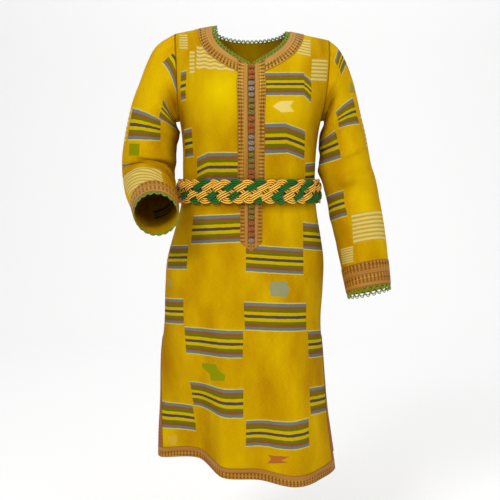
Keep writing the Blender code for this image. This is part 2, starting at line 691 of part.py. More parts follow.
def make_neck_trim(grids, braid):
    """One band round the neck, from one placket band over both shoulders to the other."""
    grid, normals = grids["front"]
    back, back_normals = grids["back"]
    slit = opening_column(grid)
    rows = slice(-NECK_TRIM_ROWS - 1, None)

    def half(end, step):
        """From the placket outward to the shoulder seam, starting clear of the placket."""
        start = slit - 2 if step < 0 else slit + 3
        cols = list(range(start, end, step))
        points, ways = grid[rows][:, cols].copy(), normals[rows][:, cols].copy()
        width = np.linalg.norm(points[:, 1] - points[:, 0], axis=1).mean()
        share = 2 * SEAM_GAP / width
        points[:, 0] = points[:, 0] * (1.0 - share) + points[:, 1] * share
        return points, ways

    left, left_ways = half(-1, -1)
    right, right_ways = half(grid.shape[1], 1)
    left[:, -1] = (left[:, -1] + back[rows][:, 0]) / 2
    right[:, -1] = (right[:, -1] + back[rows][:, -1]) / 2
    left_ways[:, -1] = unit(left_ways[:, -1] + back_normals[rows][:, 0])
    right_ways[:, -1] = unit(right_ways[:, -1] + back_normals[rows][:, -1])
    points = np.concatenate([left, back[rows][:, 1:-1], right[:, ::-1]], axis=1)
    ways = np.concatenate([left_ways, back_normals[rows][:, 1:-1], right_ways[:, ::-1]], axis=1)
    first_back, last_back = left.shape[1] - 1, points.shape[1] - right.shape[1]
    on_front = [c for c in range(points.shape[1] - 1) if c < first_back or c >= last_back]
    add_piece("neck_trim", laid_on(points, ways, flip=True, turned=on_front), braid)


def make_lace(name, edge, normals, away, loop, lace, flip=False):
    """Crochet loops along an edge, each a rounded triangle with a triangular hole cut through.

    edge, normals and away are rows of points and directions along the edge that the lace is
    sewn to, and away points off the cloth.
    """
    pitch, height = loop
    distance = np.concatenate([[0.0], np.cumsum(np.linalg.norm(np.diff(edge, axis=0), axis=1))])
    count = max(1, round(distance[-1] / pitch))
    start, end = SEAM_GAP, distance[-1] - SEAM_GAP

    def place(along, up):
        s = start + (end - start) * along / count

        def read(values):
            return np.array([np.interp(s, distance, values[:, k]) for k in range(3)])

        normal = read(normals)
        normal = normal / np.linalg.norm(normal)
        base = read(edge) + read(away) * (SEAM_GAP + height * up) - normal * WALL / 2
        return base + normal * LACE_WALL / 2, base - normal * LACE_WALL / 2

    outer, inner, faces = [], [], []
    for k in range(count):
        first = len(outer)
        for along, up in LOOP_OUTLINE + LOOP_HOLE:
            a, b = place(k + along, up)
            outer.append(a)
            inner.append(b)
        faces += [tuple(first + i for i in face) for face in LOOP_FACES]
    add_piece(name, sheet_solid(np.array(outer), np.array(inner), faces, flip), lace)


def edge_frame(points, normals, before):
    """Directions off an edge: square to it and to the cloth's normals, away from before."""
    away = unit(np.cross(normals, unit(np.gradient(points, axis=0))))
    return away * np.sign(np.sum(away * (points - before)))


def make_neck_lace(grids, lace):
    """Edging round the neck in three pieces: two from the front opening, and the back."""
    grid, normals = grids["front"]
    slit = opening_column(grid)
    for name, picked in (("neck_lace_left", slice(0, slit + 1)), ("neck_lace_right", slice(slit + 1, None))):
        away = edge_frame(grid[-1, picked], normals[-1, picked], grid[-2, picked])
        away[:, 0] *= ease(np.abs(grid[-1, picked, 0] - CENTRE) / LOOPS_UPRIGHT)
        make_lace(name, grid[-1, picked], normals[-1, picked], unit(away), NECK_LOOP, lace)
    back, back_normals = grids["back"]
    away = edge_frame(back[-1], back_normals[-1], back[-2])
    make_lace("neck_lace_back", back[-1], back_normals[-1], away, NECK_LOOP, lace, flip=True)


def make_cuff_lace(name, sleeve, lace):
    """Edging round a cuff, in an outer and an inner half."""
    rings, normals, sign = sleeve
    count = rings.shape[1]
    quarter = count // 4
    for half, start in (("outer", quarter), ("inner", quarter + count // 2)):
        picked = [(start + k) % count for k in range(count // 2 + 1)]
        points, ways = rings[-1, picked], normals[-1, picked]
        away = edge_frame(points, ways, rings[-2, picked])
        make_lace(name + "_" + half, points, ways, away, CUFF_LOOP, lace, flip=sign < 0)


def make_belt(grids, plait):
    """Plaited belt: a ring laid on the waist's own points, with the crossings raised outside."""
    front, front_ways = grids["front"]
    back, back_ways = grids["back"]
    middle = BODY_ROWS.index(BELT_Z)
    rows = slice(middle - 1, middle + 2)
    ring = np.concatenate([front[rows], back[rows][:, ::-1]], axis=1)
    ways = np.concatenate([front_ways[rows], back_ways[rows][:, ::-1]], axis=1)
    ring = np.concatenate([ring, ring[:, :1]], axis=1)
    ways = np.concatenate([ways, ways[:, :1]], axis=1)
    distance = np.concatenate([[0.0], np.cumsum(np.linalg.norm(np.diff(ring[1], axis=0), axis=1))])
    crossings = round(distance[-1] / BELT_PITCH)
    steps = crossings * BELT_STEPS
    s = distance[-1] * np.arange(steps) / steps

    def read(values, height):
        """Values at each step, at a height from -1 to 1 between the three rows."""
        at = [np.stack([np.interp(s, distance, row[:, k]) for k in range(3)], axis=1) for row in values]
        low, high = (at[1], at[2]) if height >= 0 else (at[1], at[0])
        return low * (1.0 - abs(height)) + high * abs(height)

    turn = 2 * math.pi * crossings * s / distance[-1]
    outline = []
    for height, out in BELT_PROFILE:
        base, way = read(ring, height), unit(read(ways, height))
        lift = BELT_LIFT + BELT_BRIDGE * bridge(base)
        row_phase = math.pi if height > 0 else 0.0
        relief = BELT_RELIEF * np.cos(turn - 2 * math.pi * BELT_LEAN * height + row_phase)
        outline.append(base + way * (lift + BELT_THICK * out + relief * min(1.0, out))[:, None])
    for height in BELT_INNER:
        base, way = read(ring, height), unit(read(ways, height))
        outline.append(base + way * (BELT_LIFT + BELT_BRIDGE * bridge(base))[:, None])
    rings = np.array(outline)
    add_piece("belt", tube_solid(rings), plait)


def bridge(points):
    """1 over the buttons, falling to 0 beyond the placket bands, on the front alone."""
    away = np.abs(points[:, 0] - CENTRE)
    level, end = BRIDGE_HALF
    return np.where(points[:, 1] < 0.0, ease((end - away) / (end - level)), 0.0)


def tube_solid(rings):
    """A closed tube from an outline's points carried round a loop: outline points by steps."""
    count, steps = rings.shape[:2]
    faces = []
    for i in range(count):
        for j in range(steps):
            a, b = i * steps + j, i * steps + (j + 1) % steps
            c, d = ((i + 1) % count) * steps + j, ((i + 1) % count) * steps + (j + 1) % steps
            faces += [(a, b, d), (a, d, c)]
    return rings.reshape(-1, 3), np.array(faces)


def make_buttons(grids, materials):
    """Knotted buttons down the opening, each on the cloth between the placket bands."""
    grid, normals = grids["front"]
    slit = opening_column(grid)
    line = (grid[:, slit] + grid[:, slit + 1]) / 2
    ways = unit(normals[:, slit] + normals[:, slit + 1])
    width, thick, height = BUTTON_SIZE
    for i in range(BUTTONS):
        z = BUTTON_TOP_Z - BUTTON_PITCH * i
        point = np.array([np.interp(z, line[:, 2], line[:, k]) for k in range(3)])
        way = unit(np.array([np.interp(z, line[:, 2], ways[:, k]) for k in range(3)]))
        ball = bmesh.new()
        bmesh.ops.create_uvsphere(ball, u_segments=8, v_segments=4, radius=0.5)
        bmesh.ops.triangulate(ball, faces=ball.faces[:])
        corners = np.array([v.co[:] for v in ball.verts]) * (width, thick, height)
        triangles = np.array([[v.index for v in face.verts] for face in ball.faces])
        ball.free()
        lean = math.atan2(way[2], -way[1])
        turned = corners.copy()
        turned[:, 1] = corners[:, 1] * math.cos(lean) + corners[:, 2] * math.sin(lean)
        turned[:, 2] = corners[:, 2] * math.cos(lean) - corners[:, 1] * math.sin(lean)
        centre = point + way * (thick / 2 + 2 * SEAM_GAP)
        add_piece("button_%02d" % (i + 1), (turned + centre, triangles), materials[(i // 3) % len(materials)])


def main():
    for old in list(bpy.data.objects):
        bpy.data.objects.remove(old, do_unlink=True)
    cloth = make_material("woven_cloth", CLOTH_COLOUR, 0.75)
    braid = make_material("gold_braid", BRAID_COLOUR, 0.6)
    lace = make_material("green_crochet", LACE_COLOUR, 0.7)
    plait = make_material("plaited_cord", BELT_COLOUR, 0.45)
    knots = [make_material("knot_%d" % (i + 1), c, 0.6) for i, c in enumerate(BUTTON_COLOURS)]

    grids = make_body(cloth)
    sleeve_left = make_sleeve("sleeve_left", SLEEVE_LEFT, CREASES_LEFT, grids, -1, cloth)
    sleeve_right = make_sleeve("sleeve_right", SLEEVE_RIGHT, CREASES_RIGHT, grids, 1, cloth)
    make_neck_trim(grids, braid)
    make_placket(grids, braid)
    make_cuff_trim("cuff_trim_left", sleeve_left, braid)
    make_cuff_trim("cuff_trim_right", sleeve_right, braid)
    make_hem_and_slit_trims(grids, braid)
    make_neck_lace(grids, lace)
    make_cuff_lace("cuff_lace_left", sleeve_left, lace)
    make_cuff_lace("cuff_lace_right", sleeve_right, lace)
    make_belt(grids, plait)
    make_buttons(grids, knots)


main()
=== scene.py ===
import math

import bpy
import numpy as np
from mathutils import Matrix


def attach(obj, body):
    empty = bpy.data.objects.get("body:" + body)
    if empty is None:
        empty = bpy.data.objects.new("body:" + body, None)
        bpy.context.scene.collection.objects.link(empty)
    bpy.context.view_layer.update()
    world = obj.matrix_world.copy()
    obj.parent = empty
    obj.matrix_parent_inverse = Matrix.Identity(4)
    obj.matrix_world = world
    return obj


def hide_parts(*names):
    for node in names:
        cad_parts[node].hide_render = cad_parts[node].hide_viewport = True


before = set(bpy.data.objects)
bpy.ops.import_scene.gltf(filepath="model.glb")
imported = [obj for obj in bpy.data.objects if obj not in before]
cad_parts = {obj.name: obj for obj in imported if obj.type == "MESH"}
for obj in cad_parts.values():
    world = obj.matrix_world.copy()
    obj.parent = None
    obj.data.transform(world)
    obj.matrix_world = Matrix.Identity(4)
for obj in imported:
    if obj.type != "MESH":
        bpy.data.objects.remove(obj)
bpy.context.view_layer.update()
print("frame loaded")

# the garment's own sizes in metres; heights are down from the shoulders
cut = {
    "wall": 0.0014, "trimWall": 0.0012,      # thickness of the cloth and of the braid
    "seamGap": 0.0003,
    "hemZ": -1.0, "slitTopZ": -0.715, "underarmZ": -0.21,
    "neckHalf": 0.090, "trimOnShoulder": 0.033, "trimAtCentre": 0.0235,
    "centre": -0.002, "slitHalf": 0.0006,    # the opening's line and half its gap
    "frontSlitEndZ": -0.485,                 # lower end of the opening
    "placketGap": 0.0072, "placketWide": 0.0300, "placketNarrow": 0.0245,
    "placketTipZ": -0.507,
    "placketTip": (0.0, 0.72, 0.97),         # share of the way down to the point, from the outer edge in
    "beltZ": -0.373, "beltHalf": 0.025,
    "trimWidth": 0.024,                      # braid along the hems and side slits
    "hemShiftTopZ": -0.75,                   # the hem's wave fades out up to here
    "frontInset": 0.030, "backInset": 0.010,  # how far the side edges draw in at the hem
    "rowStep": 0.0055,                       # the cloth's rows are at most this far apart
    "flatBlendZ": -0.15,                     # flat places blend up to the section at this height
    # height down to which the shoulders round off, and how square, in front (-1) and behind (1)
    "shoulders": {-1: (-0.22, 1.7), 1: (-0.16, 1.8)},
    # the left of the front falls back in a broad step
    "stepX": -0.062, "stepWidth": 0.062, "stepDepth": 0.064, "stepStartZ": -0.56,
}
# sections of the body: height, middle, half width, depth in front, depth behind, squareness
ringNames = ("z", "middle", "half", "front", "back", "square")
bodyRings = np.array((
    (-1.03, -0.0115, 0.213, 0.162, 0.150, 2.35),
    (-0.95, -0.0165, 0.2065, 0.157, 0.148, 2.35),
    (-0.87, -0.020, 0.198, 0.150, 0.143, 2.35),
    (-0.75, -0.0235, 0.191, 0.142, 0.137, 2.3),
    (-0.68, -0.0225, 0.185, 0.137, 0.134, 2.3),
    (-0.60, -0.019, 0.186, 0.131, 0.135, 2.3),
    (-0.53, -0.0155, 0.184, 0.127, 0.133, 2.25),
    (-0.475, -0.012, 0.173, 0.120, 0.122, 2.2),
    (-0.42, -0.009, 0.161, 0.112, 0.103, 2.2),
    (-0.365, -0.0075, 0.155, 0.106, 0.088, 2.2),
    (-0.32, -0.007, 0.155, 0.110, 0.086, 2.2),
    (-0.27, -0.0055, 0.1565, 0.122, 0.093, 2.25),
    (-0.21, -0.004, 0.1645, 0.135, 0.101, 2.3),
    (-0.16, -0.002, 0.178, 0.133, 0.104, 2.3),
    (-0.10, 0.0, 0.192, 0.125, 0.103, 2.3),
    (-0.05, 0.0, 0.198, 0.117, 0.100, 2.3),
    (0.03, 0.0, 0.204, 0.110, 0.096, 2.3),
))
# x and height along the shoulder seams
shoulderLine = np.array(((-0.200, -0.0118), (-0.177, -0.0074), (-0.090, 0.0095),
                         (0.090, -0.0040), (0.177, -0.0225), (0.200, -0.0274)))
# height, and x of the armhole's edge on the left and on the right
armholes = np.array(((-0.21, -0.1685, 0.1605), (-0.185, -0.1690, 0.1640), (-0.15, -0.1700, 0.1690),
                     (-0.10, -0.1710, 0.1735), (-0.05, -0.1735, 0.1760), (0.0, -0.1770, 0.1770)))
# neck edge: distance from the centre line, height in front and behind
neckEdge = np.array((
    (0.0, -0.0940, -0.0240), (0.0070, -0.0905, -0.0238), (0.0258, -0.0795, -0.0228),
    (0.0455, -0.0670, -0.0205), (0.0640, -0.0525, -0.0165), (0.0780, -0.0380, -0.0115),
    (0.0865, -0.0225, -0.0060),
))
# x, and how far the hem rises in front and behind
hemLine = np.array(((-0.215, 0.003, 0.012), (-0.125, 0.012, 0.004), (-0.070, -0.008, -0.004),
                    (0.016, -0.018, -0.008), (0.105, -0.034, -0.008), (0.200, -0.023, -0.002)))
# heights that the cloth's rows have to meet
bodyRows = np.array((
    cut["hemZ"], cut["hemZ"] + cut["trimWidth"], -0.93, -0.885, -0.84, -0.795, -0.755, cut["slitTopZ"],
    -0.675, -0.635, -0.595, -0.55, cut["placketTipZ"], cut["frontSlitEndZ"], -0.44,
    cut["beltZ"] - cut["beltHalf"], cut["beltZ"], cut["beltZ"] + cut["beltHalf"], -0.30, -0.255,
    cut["underarmZ"],
))

# large folds: x at the start, x at the hem, start height, half width, depth outward
foldTables = {
    -1: ((0.085, 0.112, -0.52, 0.050, 0.012), (0.010, 0.018, -0.60, 0.032, -0.009),
         (-0.045, -0.062, -0.62, 0.026, 0.008), (0.150, 0.163, -0.60, 0.022, -0.008),
         (-0.100, -0.165, -0.70, 0.030, 0.006)),
    1: ((-0.120, -0.150, -0.55, 0.032, 0.010), (-0.070, -0.092, -0.50, 0.026, -0.010),
        (-0.015, -0.025, -0.56, 0.034, 0.012), (0.045, 0.050, -0.52, 0.028, -0.010),
        (0.100, 0.118, -0.58, 0.034, 0.010)),
}

# small creases, listed one by one: x, z, direction in degrees, half length, half width, depth outward
creaseTables = {
    -1: ((-0.150, -0.120, 62, 0.050, 0.010, -0.0030), (-0.120, -0.150, 70, 0.045, 0.012, 0.0025),
         (0.150, -0.135, 118, 0.050, 0.010, -0.0035), (0.128, -0.165, 112, 0.045, 0.012, 0.0028),
         (-0.110, -0.330, 95, 0.050, 0.009, 0.0025), (-0.085, -0.335, 88, 0.045, 0.007, -0.0022),
         (0.090, -0.330, 84, 0.050, 0.009, 0.0025), (0.115, -0.325, 80, 0.045, 0.007, -0.0022),
         (0.060, -0.420, 92, 0.045, 0.009, 0.0022), (-0.060, -0.425, 88, 0.045, 0.008, 0.0022),
         (0.115, -0.440, 100, 0.060, 0.010, -0.0028), (-0.120, -0.440, 82, 0.060, 0.010, -0.0028),
         (0.080, -0.860, 94, 0.120, 0.012, 0.0035), (0.140, -0.880, 96, 0.110, 0.011, -0.0035),
         (0.035, -0.930, 92, 0.070, 0.009, -0.0025), (-0.110, -0.640, 84, 0.110, 0.012, -0.0030)),
    1: ((-0.130, -0.140, 75, 0.060, 0.012, -0.0030), (0.125, -0.150, 105, 0.060, 0.012, -0.0030),
        (-0.060, -0.320, 92, 0.060, 0.010, 0.0025), (0.040, -0.325, 88, 0.060, 0.010, -0.0025),
        (0.090, -0.440, 96, 0.060, 0.011, 0.0025), (-0.100, -0.450, 86, 0.060, 0.011, -0.0025),
        (0.020, -0.820, 93, 0.130, 0.013, 0.0035), (-0.060, -0.850, 88, 0.120, 0.012, -0.0035)),
}


def ease(t):
    # 3t^2 - 2t^3 between 0 and 1
    t = np.clip(t, 0.0, 1.0)
    return t * t * (3.0 - 2.0 * t)


def smoothCurve(xs, ys, at):
    # cubic through points, each slope the mean of the stretches that meet there
    slopes = np.gradient(ys, xs)
    i = np.clip(np.searchsorted(xs, at) - 1, 0, len(xs) - 2)
    step = xs[i + 1] - xs[i]
    t = np.clip((at - xs[i]) / step, 0.0, 1.0)
    rise = t * t * (3.0 - 2.0 * t)
    start = t * (1.0 - t) ** 2 * step * slopes[i]
    end = -t * t * (1.0 - t) * step * slopes[i + 1]
    return ys[i] * (1.0 - rise) + ys[i + 1] * rise + start + end


def ringValue(name, z):
    # one of the body sections' columns, as a smooth curve of height
    return smoothCurve(bodyRings[:, 0], bodyRings[:, ringNames.index(name)], z)


def shoulderZ(x):
    # height of the shoulder seam, straight between its points
    return np.interp(x, shoulderLine[:, 0], shoulderLine[:, 1])


def armholeX(side, z):
    # the armhole's edge, as a smooth curve of height
    return smoothCurve(armholes[:, 0], armholes[:, 1 if side < 0 else 2], z)


def foldOffset(side, x, z):
    # each large fold is depth * exp(-(distance / width)^2), growing from its start to the hem
    total = np.zeros(np.shape(x))
    for xTop, xHem, start, width, depth in foldTables[side]:
        share = np.clip((start - z) / (start - cut["hemZ"]), 0.0, 1.0)
        across = (x - xTop - (xHem - xTop) * share) / (width * (0.7 + 0.3 * share))
        total = total + depth * ease(share * 1.25) * np.exp(-across ** 2)
    return total


def creaseOffset(side, x, z):
    # each small crease is depth * exp(-(along / length)^2 - (across / width)^2)
    total = np.zeros(np.shape(x))
    for cx, cz, degrees, length, width, depth in creaseTables[side]:
        turn = math.radians(degrees)
        along = ((x - cx) * math.cos(turn) + (z - cz) * math.sin(turn)) / length
        across = ((z - cz) * math.cos(turn) - (x - cx) * math.sin(turn)) / width
        total = total + depth * np.exp(-along ** 2 - across ** 2)
    return total


def bodyY(side, x, z):
    # depth * (1 - share^n)^(1/n), falling to nothing at the shoulder line, plus folds and creases
    share = np.clip(np.abs(x - ringValue("middle", z)) / ringValue("half", z), 0.0, 1.0)
    square = ringValue("square", z)
    across = (1.0 - share ** square) ** (1.0 / square)
    deepest, roundness = cut["shoulders"][side]
    roundness = roundness + 0.7 * share ** 3
    top = shoulderZ(x)
    down = np.clip((top - z) / (top - deepest), 0.0, 1.0)
    fall = (1.0 - (1.0 - down) ** roundness) ** (1.0 / roundness)
    depth = ringValue("front" if side < 0 else "back", z) * across * fall
    depth = depth + foldOffset(side, x, z) * across
    depth = depth + creaseOffset(side, x, z) * across * fall
    if side < 0:
        grown = ease((cut["stepStartZ"] - z) / (cut["stepStartZ"] - cut["hemZ"]))
        step = cut["stepDepth"] * grown * ease((cut["stepX"] - x) / cut["stepWidth"])
        depth = depth - step * (1.0 - share ** 6)
    return side * (depth + cut["seamGap"] / 2)


def bodyPoints(side, x, z):
    # points on a panel from their x and height
    return np.stack([x, bodyY(side, x, z), z], axis=-1)


def unit(vectors):
    # each vector divided by its length
    return vectors / np.maximum(np.linalg.norm(vectors, axis=-1, keepdims=True), 1e-12)


def runOf(x, y):
    # arc length along a plane curve, from its first point
    return np.concatenate([[0.0], np.cumsum(np.hypot(np.diff(x), np.diff(y)))])


def distances(points):
    # running sum of the steps between points
    return np.concatenate([[0.0], np.cumsum(np.linalg.norm(np.diff(points, axis=0), axis=1))])


def hemShift(side, x, z):
    # the hem's rise at x, fading to nothing further up
    rise = smoothCurve(hemLine[:, 0], hemLine[:, 1 if side < 0 else 2], x)
    return rise * ease((cut["hemShiftTopZ"] - z) / (cut["hemShiftTopZ"] - cut["hemZ"]))


def section(side, z):
    # x and arc length from the centre line across a body ring
    turn = np.linspace(-1.0, 1.0, 401) * math.pi / 2
    x = ringValue("middle", z) + ringValue("half", z) * np.sin(turn)
    y = bodyY(side, x, np.full(x.shape, z))
    arc = runOf(x, y)
    return x, arc - np.interp(cut["centre"], x, arc)


def placketHalf(z):
    # half the placket's width, narrowing behind the belt
    narrow = ease((cut["beltZ"] + cut["beltHalf"] - z) / (2 * cut["beltHalf"]))
    return cut["placketWide"] + (cut["placketNarrow"] - cut["placketWide"]) * narrow


def refine(values, steps):
    # extra evenly spaced values inside each gap
    values = np.asarray(values)
    parts = [np.linspace(a, b, n + 1)[:-1] for a, b, n in zip(values[:-1], values[1:], steps)]
    return np.concatenate(parts + [values[-1:]])


# columns between the places across each panel
frontSteps = [5] * 8 + [2, 1, 2] + [5] * 8
backSteps = [5] * 16
rowSteps = np.ceil(np.diff(bodyRows) / cut["rowStep"]).astype(int)
rowStarts = np.concatenate([[0], np.cumsum(rowSteps)])
fineRows = refine(bodyRows, rowSteps)
armholeSteps, shoulderSteps, neckSteps = 36, 12, 12


def rowAt(z):
    # index of the grid row at one of the body rows
    return int(rowStarts[np.argmin(np.abs(bodyRows - z))])


def frontColumns(z, left, right):
    # places across the front: side edge, trim, panel, band, opening and back out
    band = placketHalf(z)
    sides = [np.linspace(band, edge - cut["trimWidth"], 7) for edge in (-left, right)]
    middle = [-band, -cut["placketGap"], -cut["slitHalf"], cut["slitHalf"], cut["placketGap"], band]
    return refine(np.concatenate([[left], -sides[0][:0:-1], middle, sides[1][1:], [right]]), frontSteps)


def backColumns(z, left, right):
    # places across the back, evenly spaced between the side trims at any height z
    inner = np.linspace(left + cut["trimWidth"], right - cut["trimWidth"], 15)
    return refine(np.concatenate([[left], inner, [right]]), backSteps)


def lowerPart(side, columns):
    # rows from the hem to the underarm, columns at even arc lengths, and the flat place of each
    inset = cut["frontInset"] if side < 0 else cut["backInset"]
    rows, flats = [], []
    for z in fineRows:
        x, arc = section(side, z)
        drawnIn = inset * ease((cut["slitTopZ"] - z) / (cut["slitTopZ"] - cut["hemZ"]))
        places = columns(z, arc[0] + drawnIn, arc[-1] - drawnIn)
        at = np.interp(places, arc, x)
        rows.append(bodyPoints(side, at, z + hemShift(side, at, np.full(at.shape, z))))
        flats.append(np.stack([places, np.full(at.shape, z)], axis=-1))
    return np.array(rows), np.array(flats)


def neckCurve(side, sign):
    # the neck edge, and the trim's outer edge beside it at the trim's width
    away = np.append(neckEdge[:, 0], cut["neckHalf"])
    height = np.append(neckEdge[:, 1 if side < 0 else 2], shoulderZ(cut["centre"] + sign * cut["neckHalf"]))
    run = runOf(away, height)
    fine = np.linspace(0.0, run[-1], 200)
    x, z = smoothCurve(run, away, fine), smoothCurve(run, height, fine)
    slopeX, slopeZ = np.gradient(x, fine), np.gradient(z, fine)
    steep = np.hypot(slopeX, slopeZ)
    share = fine / fine[-1]
    width = cut["trimAtCentre"] + (cut["trimOnShoulder"] - cut["trimAtCentre"]) * share
    endX = cut["neckHalf"] + cut["trimOnShoulder"]
    outX, outZ = x + width * slopeZ / steep, z - width * slopeX / steep
    outX = outX + (endX - outX[-1]) * share ** 4
    outZ = outZ + (shoulderZ(cut["centre"] + sign * endX) - outZ[-1]) * share ** 4
    return (x, z), (outX, outZ)


def spacedAlong(curve, start, share):
    # points at given shares of the curve's run beyond start
    x, z = curve
    run = runOf(x, z)
    first = np.interp(start, x, run)
    places = first + (run[-1] - first) * share
    return np.interp(places, run, x), np.interp(places, run, z)


def neckCurves(side, bottomX):
    # x and height of every column on the neck edge, and on the trim's outer edge
    band = cut["placketWide"] + 1e-6 if side < 0 else 0.0
    away = np.abs(bottomX - cut["centre"])
    edges = []
    for kind in (0, 1):
        x, z = bottomX.copy(), np.zeros(len(bottomX))
        for sign, end in ((-1, 0), (1, -1)):
            curve = neckCurve(side, sign)[kind]
            inside = (away <= band) & (np.sign(bottomX - cut["centre"]) == sign)
            outside = (away > band) & (np.sign(bottomX - cut["centre"]) == sign)
            level = away[inside] if kind == 0 else np.full(inside.sum(), band)
            z[inside] = np.interp(level, curve[0], curve[1])
            share = (away[outside] - band) / (away[end] - band)
            outX, z[outside] = spacedAlong(curve, band, share)
            x[outside] = cut["centre"] + sign * outX
        edges.append((x, z))
    return edges


def edgeRun(sign):
    # x and z up the armhole's edge, then in along the shoulder seam
    topX = armholeX(sign, 0.0)
    turn = np.linspace(0.0, math.pi, armholeSteps + 1)
    zArm = cut["underarmZ"] + (shoulderZ(topX) - cut["underarmZ"]) * (1.0 - np.cos(turn)) / 2
    xArm = armholeX(sign, zArm)
    startX = ringValue("middle", cut["underarmZ"]) + sign * ringValue("half", cut["underarmZ"])
    early = np.clip(1.0 - np.arange(len(xArm)) / (armholeSteps / 9), 0.0, 1.0)
    xArm = xArm + early * (startX - xArm[0])
    xArm[-1] = topX
    seamEnd = cut["centre"] + sign * (cut["neckHalf"] + cut["trimOnShoulder"])
    xSeam = np.linspace(topX, seamEnd, shoulderSteps + 1)[1:]
    return np.concatenate([xArm, xSeam]), np.concatenate([zArm, shoulderZ(xSeam)])


def upperPart(side, underarmRow):
    # rows blend from the underarm row to the trim's outer edge, drawn after the armhole near it
    x0 = underarmRow[:, 0]
    (xIn, zIn), (xOut, zOut) = neckCurves(side, x0)
    count = armholeSteps + shoulderSteps
    near = np.interp(x0, [x0[0], cut["centre"], x0[-1]], [1.0, 0.0, 1.0]) ** 1.6
    left = x0 < cut["centre"]
    runs = {True: edgeRun(-1), False: edgeRun(1)}
    rows = []
    for r in range(1, count + 1):
        q = r / count
        x = (1.0 - q) * x0 + q * xOut
        z = (1.0 - q) * cut["underarmZ"] + q * zOut
        for isLeft, end in ((True, 0), (False, -1)):
            xRun, zRun = runs[isLeft]
            weight = np.where(left == isLeft, near, 0.0)
            bendX = xRun[r] - ((1.0 - q) * x0[end] + q * xOut[end])
            bendZ = zRun[r] - ((1.0 - q) * cut["underarmZ"] + q * zOut[end])
            x, z = x + weight * bendX, z + weight * bendZ
        rows.append((x, z))
    for r in range(1, neckSteps + 1):
        q = r / neckSteps
        x, z = (1.0 - q) * xOut + q * xIn, (1.0 - q) * zOut + q * zIn
        z[[0, -1]] = shoulderZ(x[[0, -1]])
        rows.append((x, z))
    points = np.array([bodyPoints(side, x, z) for x, z in rows])
    lowX, lowArc = section(side, cut["underarmZ"])
    highX, highArc = section(side, cut["flatBlendZ"])
    share = np.clip((points[..., 2] - cut["underarmZ"]) / (cut["flatBlendZ"] - cut["underarmZ"]), 0.0, 1.0)
    flatU = (1.0 - share) * np.interp(points[..., 0], lowX, lowArc) + share * np.interp(
        points[..., 0], highX, highArc)
    return points, np.stack([flatU, points[..., 2]], axis=-1)


def gridNormals(grid, closed=False, sign=1.0):
    # cross product of the two directions along the grid
    if closed:
        across = np.roll(grid, -1, axis=1) - np.roll(grid, 1, axis=1)
    else:
        across = np.gradient(grid, axis=1)
    return sign * unit(np.cross(across, np.gradient(grid, axis=0)))


def bodyPanel(side, columns):
    # a panel's points, normals and flat places; seams' normals stay level
    lower, lowerFlat = lowerPart(side, columns)
    upper, upperFlat = upperPart(side, lower[-1])
    grid = np.concatenate([lower, upper])
    flat = np.concatenate([lowerFlat, upperFlat])
    normals = gridNormals(grid, sign=-side)
    shoulderRow = len(fineRows) - 1 + armholeSteps
    for rows in (slice(rowAt(cut["slitTopZ"]), len(fineRows)), slice(shoulderRow, None)):
        for edge in (0, -1):
            normals[rows, edge, 1] = 0.0
    return grid, unit(normals), flat


# meshes
def addMesh(name, vertices, quads, flats):
    # one object from arrays; flats are flat places in metres for each corner of each quad
    used, compact = np.unique(quads, return_inverse=True)
    quads = compact.reshape(quads.shape)
    vertices = vertices[used]
    mesh = bpy.data.meshes.new(name)
    mesh.vertices.add(len(vertices))
    mesh.vertices.foreach_set("co", vertices.astype(np.float32).ravel())
    mesh.loops.add(quads.size)
    mesh.loops.foreach_set("vertex_index", quads.astype(np.int32).ravel())
    mesh.polygons.add(len(quads))
    mesh.polygons.foreach_set("loop_start", np.arange(0, quads.size, 4, dtype=np.int32))
    layer = mesh.uv_layers.new(name="flat")
    layer.data.foreach_set("uv", flats.astype(np.float32).ravel())
    mesh.update(calc_edges=True)
    mesh.validate()
    mesh.shade_smooth()
    mesh.set_sharp_from_angle(angle=math.radians(60))
    piece = bpy.data.objects.new(name, mesh)
    bpy.context.collection.objects.link(piece)
    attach(piece, "root")
    return piece


def shell(outer, inner, flat, closed=False, keep=None, flip=False):
    # a wall: outer quads, inner quads turned over, and a rim along the open edges
    rows, columns = outer.shape[:2]
    wide = columns if closed else columns - 1
    r, c = np.meshgrid(np.arange(rows - 1), np.arange(wide), indexing="ij")
    if keep is not None:
        r, c = r[keep], c[keep]
    r, c = r.ravel(), c.ravel()
    a, b = r * columns + c, r * columns + (c + 1) % columns
    quads = np.stack([a, b, b + columns, a + columns], axis=1)
    flatColumns = flat.shape[1]
    fa = r * flatColumns + c
    flatIndex = np.stack([fa, fa + 1, fa + 1 + flatColumns, fa + flatColumns], axis=1)
    if flip:
        quads, flatIndex = quads[:, ::-1], flatIndex[:, ::-1]
    count = rows * columns
    start, end = quads.ravel(), np.roll(quads, -1, axis=1).ravel()
    flatStart, flatEnd = flatIndex.ravel(), np.roll(flatIndex, -1, axis=1).ravel()
    free = ~np.isin(start.astype(np.int64) * count + end, end.astype(np.int64) * count + start)
    s, e = start[free], end[free]
    rim = np.stack([e, s, s + count, e + count], axis=1)
    rimFlat = np.stack([flatEnd[free], flatStart[free], flatStart[free], flatEnd[free]], axis=1)
    every = np.concatenate([quads, quads[:, ::-1] + count, rim])
    flats = flat.reshape(-1, 2)[np.concatenate([flatIndex, flatIndex[:, ::-1], rimFlat])]
    return np.concatenate([outer.reshape(-1, 3), inner.reshape(-1, 3)]), every, flats


